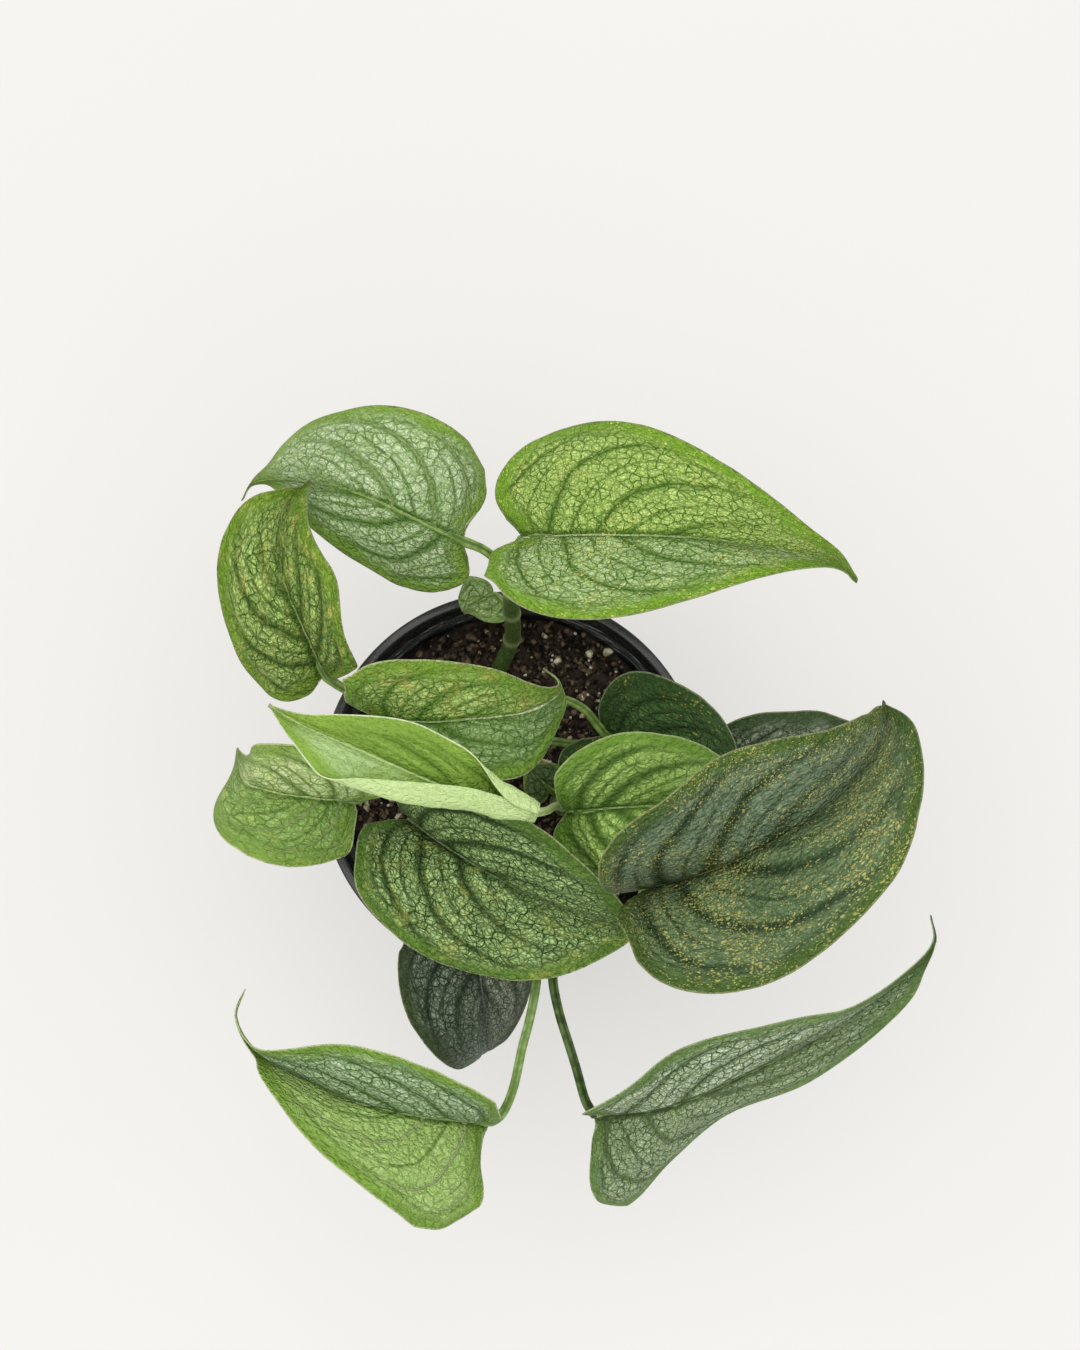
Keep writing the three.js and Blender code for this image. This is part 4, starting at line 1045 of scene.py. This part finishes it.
    def with_mottle(self, surface):
        """Soft yellow patches between the side veins."""
        if not self.used("mottle"):
            return surface
        patches = self.noise(self.bent, 1 / self.look["mottle_size"], 6.0, 0.75).step(0.5, 0.66)
        patches = patches * (0.5 + self.fine.step(0.4, 0.6) * 0.5) * (1 - self.side_vein * 0.5)
        return self.mix(surface, self.look["yellow"], patches * self.half("mottle"))

    def with_specks(self, surface):
        """Pale and scorched specks of two sizes, in clusters."""
        if not self.used("specks"):
            return surface
        cluster = (self.broad - 0.5) * 1.6 + (self.medium - 0.5) * 1.6
        for size, more in ((self.look["speck_size"], 0), (self.look["speck_size"] * 1.8, 0.25)):
            grains = self.cells(self.bent, 1 / size)
            chosen = self.cells(self.bent, 1 / size, "F1", "Color")
            least = self.look["speck_share"] + more
            dots = grains.step(0.4, 0.18) * (chosen.part(1) + cluster).step(least, least + 0.15)
            warm = self.mix(self.look["yellow"], self.look["scorch"], chosen.part(2).step(0.7, 0.95))
            surface = self.mix(surface, warm, dots * self.half("specks"))
        return surface

    def with_rib(self, surface):
        """The pale midrib, the pale cores of the side veins and the leaf's thin rim."""
        surface = self.mix(surface, self.look["rib"], self.side_core * self.half("pale_vein"))
        rib_end = self.look["rib_end"]
        rib = abs(self.out).step(self.look["rib_width"], 0.1) * self.e.step(rib_end, rib_end - 0.55)
        surface = self.mix(surface, self.look["rib"], rib)
        return self.mix(surface, self.look["rim"], self.edge.step(0.5, 0.15) * 0.75)


def stalk_finish(name, dark="#5f7a33", light="#8ba457", channel="#3f5a26"):
    """A leaf stalk's finish: two greens in streaks, and another in the channel."""
    finish = Finish(name, roughness=0.42, specular_ior_level=0.3)
    hollow = finish.attribute("vein").part(0)
    streak = finish.noise(finish.place(), 380.0, 4.0)
    green = finish.mix(dark, light, streak.step(0.35, 0.65))
    finish.connect("Base Color", finish.mix(green, channel, hollow.step(0.35, 0.8) * 0.8))
    finish.bump(streak, 0.0002)
    return finish


def grow(name, slot, look, stalk_look=None, **leaf):
    """Makes one leaf. stalk and rib are the points of its stalk and midrib, and width is the blade's
    half width, all in millimetres. Each half has its own shape, from base to tip where it is a list:
    lift, how steeply it leaves the midrib, and curl, how far it bends over, both in degrees; wide, a
    factor of its width; slim, how much it narrows to the tip; lobe, how far it reaches back at the base;
    sweep and shift, how far it leans to the tip; trim, a factor of its reach; flat, how many millimetres
    stay flat beside the midrib; and turn, the degrees after which a roll ends."""
    spoken = name.replace("_", " ")
    finish = LeafFinish(f"{spoken} leaf", **look)
    skin = stalk_finish(f"{spoken} stalk", **(stalk_look or {}))
    piece = leaf_piece(f"{name}_leaf", leaf, finish, skin)
    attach(piece, "root")
    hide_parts(f"leaf_{name}")


grow(
    "rear_right",
    slot="leaf_bright",
    stalk=[[0, 53.5, 131], [0, 56, 138], [0.5, 60, 146]],
    stalk_radius=1.4,
    rib=[[3, 65, 152], [26, 65, 158], [51, 64, 158], [76, 61, 150], [88, 59, 142], [95, 54, 134]],
    width=33,
    left=dict(
        lift=[-8.5, 1.1, 10, 0, -10], curl=35, slim=0.25, lobe=0.797, sweep=0.97,
        trim=[1.007, 1.029, 1.007, 1.059, 1.065, 1.006, 1.003, 1.017, 1.107],
        shift=[0, 0.002, 0.009, 0.004, 0.013, -0.011, -0.014, 0.01, 0.076],
    ),
    right=dict(
        lift=[75.8, 43.5, 35, 45, 35], curl=25, wide=0.94, slim=0.45, lobe=0.213, sweep=0.93,
        trim=[1.009, 1.037, 1.059, 1.114, 1.048, 1.039, 1.008, 1.036, 1.041],
        shift=[0.031, 0.009, 0.026, 0.009, -0.01, -0.012, -0.006, -0.002, -0.03],
    ),
    look=dict(
        green="#7ca030", green_left="#86aa34", vein="#38600e", silver="#bcd696", silver_left="#c2de7c",
        edge="#84b030", rib="#c6d49c", yellow="#e2e27c", scorch="#e2e27c", net=0.95, specks=0.6,
        speck_size=0.7, speck_share=0.8,
    ),
)
grow(
    "rear_left",
    slot="leaf_silver",
    stalk=[[0, 52, 128], [-2, 58, 133], [-7, 62.5, 137.5]],
    stalk_radius=1.3,
    rib=[
        [-13, 65, 140], [-26, 71, 143], [-44, 79, 140], [-61, 83, 130], [-72, 83, 120], [-76, 79, 112],
    ],
    width=27,
    left=dict(
        lift=[-16.1, -16.1, 0, -5, -15], curl=45, wide=0.95, slim=0.6, lobe=0.88, sweep=1.03,
        trim=[0.965, 0.978, 0.953, 0.916, 0.88, 0.908, 0.82, 0.711, 0.665],
        shift=[0.007, -0.005, 0.013, 0.005, 0.006, 0.011, -0.045, -0.095, -0.034],
    ),
    right=dict(
        lift=[-9.6, 22.6, 10, -5, -35], curl=40, wide=1.05, lobe=0.211,
        trim=[1.106, 1.094, 0.986, 0.944, 0.985, 1.032, 1.194, 1.137, 1.054],
        shift=[0.028, 0.003, 0.017, 0.016, 0.016, 0.022, 0.017, -0.058, -0.037],
    ),
    look=dict(
        green="#82a640", vein="#426820", silver="#cadeae", edge="#88ac42", rib="#a9bd7c", net=0.75,
        side_band=0.7, pale_vein=0.55, pale_vein_left=0.0, rib_width=0.3,
    ),
)
grow(
    "rear_small",
    slot="leaf_silver",
    stalk=[[0, 47, 115], [-3, 51, 113.5]],
    stalk_radius=0.9,
    rib=[[-5, 53, 112], [-8, 51, 113], [-12, 49, 112], [-13.5, 47.5, 110.5]],
    width=8.5,
    left=dict(
        lift=[20, 10, 10, 5, 5], curl=20, lobe=1.1, sweep=0.95,
        trim=[1.047, 1.065, 1.063, 1.025, 0.967, 0.897, 0.861, 0.88, 0.942],
        shift=[-0.005, -0.011, -0.011, -0.003, -0.001, -0.004, -0.006, -0.005, 0],
    ),
    right=dict(
        lift=[-10, 0, 10, 15, 20], curl=20, sweep=1.05,
        trim=[0.797, 0.824, 0.839, 0.864, 0.927, 0.973, 0.975, 0.987, 0.999],
        shift=[0.011, 0.007, 0.006, 0.004, 0.002, 0.001, -0.005, -0.003, 0],
    ),
    quilt=0.25, pucker=0.15, ripple=0.3,
    # Its green, edge and silver are painted light: lighter than its own colour, to make up for the shade it
    # lies in under the two large leaves.
    look=dict(
        green="#98bc5c", vein="#3d5f1c", silver="#c6de9e", edge="#a4c472", edge_width=1.5,
        rib_shade=1.0,
    ),
)

# Leaves of the left vine
# Three leaves above the pot's left side: one that points away, one that lies across the pot's middle and
# one that points to the left. They are soft blades on short channelled stalks, like those of the rear.
grow(
    "left_upper",
    slot="leaf_bright",
    stalk=[[-28, 8.5, 118], [-33, 15, 124], [-41, 22, 133], [-47, 25.5, 137.5]],
    stalk_radius=1.3,
    rib=[
        [-51, 28, 138], [-56, 40, 144], [-62, 55, 146], [-63, 68, 144], [-60, 76, 141], [-55, 82, 138],
    ],
    width=21.5,
    left=dict(
        lift=[-10.5, -5.1, -5, 15, 20], curl=40, wide=1.03, slim=-0.3, lobe=0.613,
        trim=[0.569, 0.833, 0.951, 1.008, 0.966, 0.942, 0.91, 0.913, 0.9],
        shift=[0.021, -0.013, -0.036, -0.014, -0.001, 0.014, 0.014, -0.026, -0.055],
    ),
    right=dict(
        lift=[53.1, 64, 50, 45, 25], curl=20, wide=0.87, slim=0.1, lobe=0.254, sweep=1.07,
        trim=[0.982, 0.988, 0.981, 0.916, 1.144, 1.071, 1.108, 1.074, 1.032],
        shift=[-0.003, 0.003, 0.013, 0.029, -0.023, -0.033, 0.005, 0.005, 0.002],
    ),
    look=dict(
        green="#749a2c", vein="#2a4a08", silver="#bdd87e", edge="#7fa62c", rib="#a8ba78",
        yellow="#d6d26a", silvering=0.6, silvering_left=0.85, net=0.95, side_band=0.75, rib_shade=3.0,
        mottle=0.75, mottle_left=0.45, mottle_size=4.0, relief=1.4,
    ),
)
grow(
    "centre_rear",
    slot="leaf_silver",
    stalk=[[-28.8, 9.6, 123], [-31, 11, 130], [-34, 13.5, 140]],
    stalk_radius=1.3,
    rib=[
        [-38, 17, 148], [-24, 15, 153], [-8, 16, 154], [5, 18, 149], [13, 23, 142], [13, 27, 139],
        [9, 30, 141],
    ],
    width=19,
    left=dict(
        lift=[80, 40, 25, 10, -5], curl=35, lobe=0, sweep=0.92,
        trim=[0.893, 1.034, 1.092, 1.087, 0.979, 0.96, 0.927, 0.861, 0.824],
        shift=[0.011, -0.03, 0.02, 0.014, -0.001, 0.005, 0.002, -0.031, -0.034],
    ),
    right=dict(
        lift=[30, 30, 30, -10, -30], curl=35, slim=-0.3,
        trim=[1.004, 0.997, 0.987, 0.975, 0.969, 1.016, 1.017, 1.01, 1.001],
        shift=[0, 0, 0, 0.001, 0.004, 0.013, -0.005, -0.003, -0.001],
    ),
    look=dict(
        green="#658a34", green_left="#80a434", vein="#42681a", silver="#9cb67a", silver_left="#b6ce7a",
        edge="#80a43a", rib="#d8e2b4", rim="#bcc490", yellow="#cfba5c", net=0.95, rib_width=0.4,
        rib_end=1.3, mottle_left=0.5, mottle_size=9.0,
    ),
)
grow(
    "left_lower",
    slot="leaf_bright",
    stalk=[[-27.4, 7.8, 109], [-31, 3.5, 118], [-36, -2.5, 127]],
    stalk_radius=1.2,
    rib=[[-43, -6, 130], [-55, -5, 132], [-67, -3, 130], [-74, 0, 124], [-77, 9, 112]],
    width=21,
    left=dict(
        lift=[-10, 5, 25, 20, -20], curl=35, wide=0.92, slim=-0.35, lobe=0.3, sweep=1.02,
        trim=[0.894, 0.956, 0.996, 0.986, 0.994, 0.983, 0.953, 0.921, 0.936],
        shift=[-0.002, 0.003, -0.016, -0.007, 0.002, 0.003, 0.005, -0.001, -0.002],
    ),
    right=dict(
        lift=[80, 60, 40, 15, -5], curl=25, wide=0.95, slim=-0.1, lobe=0.9, sweep=0.9,
        trim=[1.047, 1.034, 1.019, 1.009, 0.997, 0.967, 0.947, 0.942, 0.921],
        shift=[0.011, -0.026, -0.013, -0.003, 0, -0.004, -0.004, -0.001, 0],
    ),
    look=dict(
        green="#a6c466", green_left="#6c9232", vein="#46681e", silver="#d6e8a6", silver_left="#9fbd6c",
        edge="#86a648", rib="#c6d592", rim="#c4cc98", net=0.75, side_band=0.6, side_band_left=0.25,
        pale_vein_left=0.3, rib_width=0.42, rib_end=1.3, mottle=0.3, mottle_size=5.0, relief=0.8,
    ),
)

# Leaves of the centre vine
# The newest leaf, which is still half unrolled along its length, the bright leaf that lies to the right
# under the big dark one, and a tiny leaf close to the soil.
grow(
    "newest",
    slot="leaf_new",
    stalk=[[14.5, -7.3, 120], [13, -7.2, 128], [11.5, -7.7, 138], [9.9, -8.8, 150]],
    stalk_radius=1.1,
    rib=[
        [6.5, -9.6, 158.5], [-8, -6, 161.5], [-24, 0, 166], [-42, 8, 168.5], [-56, 14, 168],
        [-64, 19, 165],
    ],
    width=23,
    left=dict(
        lift=[-5, 0, 5, 10, 0], curl=[-600, -600, -600, -500, -60], lobe=0, flat=[0, 2, 6.5, 9, 12],
        turn=178,
        trim=[0.9, 0.8, 0.48, 0.47, 0.61, 0.87, 1, 0.95, 1],
    ),
    right=dict(
        lift=[0, 5, 10, 10, -5], curl=[-450, -520, -500, -20, -20], slim=0.25, lobe=0,
        flat=[0, 7, 16, 20, 20], turn=172,
        trim=[1, 0.8, 0.46, 0.56, 0.56, 0.8, 0.82, 0.78, 0.9],
    ),
    look=dict(
        green="#7a9a34", green_left="#9cbc58", vein="#3f6410", silver="#92b450", silver_left="#c0dba2",
        edge="#8cb044", rib="#b9d286", rim="#e4ecc4", under="#c4dc96", silvering=0.5, net=0.2,
        fine_net=0.1, side_vein=0.95, side_vein_left=0.12, side_band=0.6, rib_width=0.4, rib_end=1.5,
        grain=0.8, relief=0.5,
    ),
    stalk_look=dict(dark="#9fb070", light="#c6cf9c", channel="#8fa25c"),
)
grow(
    "centre_right",
    slot="leaf_bright",
    stalk=[[14.4, -7, 116], [17.4, -8.4, 121], [17.2, -9, 128]],
    stalk_radius=1.3,
    rib=[[15, -9, 134], [27, -8, 138], [41, -7, 137], [55, -5, 131], [66, 0, 124]],
    width=22,
    left=dict(
        lift=[75, 40, 35, 35, 25], curl=30, wide=0.93, slim=-0.25, lobe=0.25, sweep=1.08,
        trim=[0.824, 0.902, 0.955, 1.026, 1.024, 0.983, 1.026, 1.025, 1.014],
        shift=[0.018, 0.003, -0.004, 0.003, -0.012, 0, 0.014, 0.007, 0],
    ),
    right=dict(
        lift=[-10, 10, 5, -5, -10], curl=30, lobe=0.9,
        trim=[0.583, 0.784, 0.931, 1.013, 1.028, 1.02, 1.009, 1.002, 0.997],
        shift=[0.026, 0, 0.011, 0.003, 0, -0.001, 0, 0, 0],
    ),
    # The right half's green and silver are painted light: lighter than its own colour, to make up for the
    # shade that the leaves above cast on that half.
    look=dict(
        green="#8cb848", green_left="#7fa63e", vein="#2f5010", silver="#bfe07e", silver_left="#b0d072",
        edge="#7aa23c", rim="#a9b57e", net=0.7, side_band=0.85, side_vein_width=1.6, relief=0.7,
    ),
)
grow(
    "centre_small",
    slot="leaf_dark",
    stalk=[[13.4, -5.4, 86], [12.2, -3.2, 90]],
    stalk_radius=0.8,
    rib=[[11, -2, 92], [8.5, 0.5, 94], [6, 3, 94.5], [4.5, 5, 93]],
    width=7,
    left=dict(lift=[10, 10], curl=10),
    right=dict(lift=[10, 10], curl=10),
    quilt=0.2, pucker=0.15, ripple=0.3,
    look=dict(green="#56703e", vein="#364c22", silver="#7a9460", edge_width=1.2, rib_shade=1.2),
)

# Leaves of the right vine
# Two dark leaves that lie low behind the others on the pot's right: a heart-shaped one whose inner lobe
# shows in the plant's middle, and a narrow one on a long stalk.
grow(
    "right_dark",
    slot="leaf_dark",
    stalk=[[6.7, 13.2, 104], [9.5, 19.5, 113], [14, 22.5, 119], [20, 20, 120.5], [24, 15.5, 118]],
    stalk_radius=1.2,
    rib=[[26, 13, 116], [39, 8, 120], [53, 2, 116], [66, -5, 108]],
    width=22,
    left=dict(lift=[30, 30, 30, 20, 10], curl=30, wide=0.94, slim=-0.2, lobe=0.8),
    right=dict(lift=[10, 5, 5, 0, 0], curl=20, wide=1.1, lobe=2.2),
    look=dict(
        green="#3a5826", vein="#1f3314", silver="#4c6c38", edge="#3a5826", rim="#93a074",
        yellow="#b9b84e", scorch="#b08a3a", specks=0.5, speck_size=0.7, speck_share=0.85,
    ),
)
grow(
    "right_rear",
    slot="leaf_dark",
    stalk=[[6, 11, 94], [14, 11.5, 93.5], [36, 7, 97], [53, 3, 99.5]],
    stalk_radius=1.1,
    rib=[[58, 2, 100], [70, 7, 105], [84, 12, 104], [97, 17, 98]],
    width=16,
    left=dict(
        lift=[10, 15, 15, 15, 15], curl=30, wide=0.8, sweep=1.07,
        trim=[1, 1, 1, 0.95, 0.95, 0.91, 1.07, 1.1, 1.05],
    ),
    right=dict(lift=[10, 10], curl=30),
    look=dict(green="#465c34", vein="#1c2c16", silver="#a2b098", edge="#465c34", silvering=0.95),
)

# Leaves of the front vine
# Five leaves at the plant's front: the biggest, dark and speckled one on the right, a big veined one over
# the pot's near half, a dark one under it, and two folded ones that reach out on long arched stalks.
grow(
    "right_big",
    slot="leaf_dark",
    stalk=[[10, -31, 92], [18, -35.5, 102], [28, -37, 112], [35, -35, 126], [36, -32, 140]],
    stalk_radius=1.5,
    rib=[[36, -30, 148], [56, -24, 158], [77, -13, 164], [92, -1, 160], [101, 12, 152], [101, 21, 146]],
    width=34,
    left=dict(
        lift=[84.4, 67.1, 40, 40, 10], curl=30, wide=0.89, slim=-0.15, lobe=0.619,
        trim=[0.849, 0.941, 1.058, 1.146, 1.068, 1.056, 1.006, 1.062, 1.128],
        shift=[0.013, 0.002, 0.015, 0.017, 0.019, -0.037, 0.006, 0.039, -0.017],
    ),
    right=dict(
        lift=[83.5, 51.8, 50, 50, 35], curl=50, wide=1.03, slim=-0.1, lobe=0.528, sweep=1.05,
        trim=[0.87, 0.956, 1.008, 1.055, 1.061, 1.054, 0.983, 1.13, 1.095],
        shift=[0.037, -0.006, 0.015, -0.02, -0.008, -0.018, -0.009, -0.001, -0.012],
    ),
    look=dict(
        green="#46643a", vein="#1f3318", silver="#7b9066", silver_left="#8a9c7e", edge="#54702c",
        rib="#7c8a60", yellow="#bdbd68", scorch="#b59c5a", silvering=0.6, net=0.35, fine_net=0.3,
        side_band=0.85, side_vein_width=1.9, rib_shade=3.0, specks=0.85, speck_size=0.45,
        speck_share=0.6, grain=2.4, relief=1.2,
    ),
)
grow(
    "front_big",
    slot="leaf_bright",
    stalk=[[9.3, -24, 86], [3, -25, 92], [-12, -20, 105], [-24, -14, 115.5]],
    stalk_radius=1.4,
    rib=[[-29, -10.5, 120], [-17, -19, 129], [0, -29, 132], [16, -36, 129], [33.5, -41, 120]],
    width=28.5,
    left=dict(
        lift=[70, 60, 55, 55, 40], curl=20, wide=0.88, slim=-0.15, lobe=0.5, sweep=1.09,
        trim=[1.029, 1.02, 1.011, 1.006, 1, 0.989, 0.963, 0.999, 1.017],
        shift=[0.001, -0.013, -0.006, -0.001, -0.002, -0.003, 0.002, 0.016, 0.006],
    ),
    right=dict(
        lift=[39.4, 14.4, -5, 5, 20], curl=35, wide=1.03, slim=-0.15, lobe=0.971, sweep=1.12,
        trim=[1.069, 0.961, 1.04, 0.965, 1.012, 1.017, 1.013, 1.037, 1.069],
        shift=[0.007, -0.033, 0.003, -0.013, -0.008, -0.022, -0.011, 0.025, 0.032],
    ),
    look=dict(
        green="#66873c", vein="#1b3608", silver="#b6d48a", edge="#6c9236", rib="#8b9c6c",
        rim="#a9b584", yellow="#ccd05c", silvering=0.95, net=1.0, fine_net=0.6, side_band=0.75,
        rib_shade=2.8, mottle=0.4, mottle_left=0.0, mottle_size=6.0, relief=1.4,
    ),
)
grow(
    "front_under",
    slot="leaf_dark",
    stalk=[[10, -36.5, 98], [4, -39, 105.5], [-3, -38, 110], [-9, -36, 113]],
    stalk_radius=1.2,
    rib=[[-13, -35, 114], [-10, -47, 112], [-8, -62, 102], [-7, -74, 86], [-8, -78, 72]],
    width=23,
    left=dict(
        lift=[-5, -5, -5, -5, 0], curl=50, slim=0.15,
        trim=[1.003, 1.002, 1, 0.992, 0.975, 0.948, 0.958, 0.99, 1.005],
        shift=[0, 0, 0, 0, -0.003, -0.009, -0.003, -0.001, -0.011],
    ),
    right=dict(
        lift=[-5, 10, 30, 45, 40], curl=50, slim=-0.1, sweep=1.08,
        trim=[1.002, 1.02, 1.036, 1.026, 1.033, 0.989, 1.016, 1.015, 1.008],
        shift=[0, -0.002, -0.005, -0.005, 0.001, -0.004, 0.012, 0.006, 0],
    ),
    look=dict(
        green="#42543a", green_left="#6c7c5e", vein="#1f2c14", silver="#8a9c84", silver_left="#b4c0a8",
        edge="#485b34", rib="#8d8a86", net=1.0, fine_net=0.6, side_band=0.7, rough=0.38, relief=1.7,
    ),
)
grow(
    "front_left",
    slot="leaf_silver",
    stalk=[
        [10.2, -40.5, 103], [6.8, -47.5, 109.5], [7, -56, 111.8], [5.2, -66, 113], [3, -74.5, 113],
        [0.6, -85.5, 111.5], [-2.5, -92.8, 108.7],
    ],
    stalk_radius=1.3,
    rib=[
        [-6, -96, 106], [-23, -94, 110], [-42, -90, 112], [-59, -83, 108], [-72, -76, 102],
        [-78, -67, 98], [-76, -59, 94],
    ],
    width=30,
    left=dict(
        lift=[-6.6, 29.9, 50, 60, 60], curl=25, wide=1.03, slim=0.6, lobe=0.015, sweep=0.96,
        trim=[0.69, 0.855, 0.952, 1.011, 1.05, 0.975, 1.095, 1.017, 0.95],
        shift=[0.02, 0.029, 0.009, 0.043, -0.004, 0.029, -0.026, -0.114, -0.05],
    ),
    right=dict(
        lift=[80.8, 67.5, 60, 80, 60], curl=25, wide=0.83, slim=0.2, lobe=0.156, sweep=1.03,
        trim=[0.986, 0.959, 0.938, 0.996, 1.087, 1.077, 0.984, 0.955, 0.931],
        shift=[0.011, -0.002, 0.013, 0.024, 0.023, -0.017, -0.051, -0.022, -0.001],
    ),
    look=dict(
        green="#76984a", green_left="#92b84c", vein="#3a5a18", silver="#c6dcb4", silver_left="#b6d480",
        edge="#86ac42", rib="#bccb8c", rim="#c3cd9c", net=0.95, net_left=0.5, side_band=0.5,
        side_band_left=0.15, pale_vein_left=0.6,
    ),
    stalk_look=dict(dark="#64823c", light="#8fa763", channel="#557433"),
)
grow(
    "front_right",
    slot="leaf_silver",
    stalk=[
        [10.6, -43.5, 106.5], [12, -49.5, 110.2], [11.6, -56, 111.6], [13.4, -65, 113],
        [15.9, -73, 113.4], [18.2, -80.5, 112.8], [20.6, -89, 110.2],
    ],
    stalk_radius=1.3,
    rib=[
        [23, -94, 106], [44, -91, 112], [69, -80, 116], [91, -68, 116], [110, -55, 110],
        [119, -46, 103], [119, -38, 98],
    ],
    width=27,
    left=dict(
        lift=[89.6, 56.3, 65, 75, 40], curl=15, wide=0.84, slim=0.15, lobe=-0.157,
        trim=[0.929, 0.859, 0.818, 0.869, 1.007, 0.968, 0.77, 0.723, 0.788],
        shift=[0.032, 0.02, 0.007, 0.022, -0.002, -0.024, -0.088, -0.05, 0.019],
    ),
    right=dict(
        lift=[-7.4, -49, -40, -25, 0], curl=50, wide=1.15, slim=0.4, lobe=0.492, sweep=0.92,
        trim=[0.573, 0.861, 1.083, 1.244, 0.96, 0.915, 0.877, 0.895, 0.884],
        shift=[0.032, 0.05, 0.022, -0.013, -0.079, 0, 0.075, -0.012, -0.062],
    ),
    look=dict(
        green="#5f823c", green_left="#6c8c48", vein="#2c4a18", silver="#b2c69c", silver_left="#d8eac6",
        edge="#7a9c54", rib="#9aaa7c", rim="#aab68c", silvering=0.95, edge_width=3.8, net=1.0,
        pale_vein=0.15, pale_vein_left=0.0, specks=0.12, relief=1.3,
    ),
    stalk_look=dict(dark="#2c4016", light="#566d33", channel="#22330f"),
)
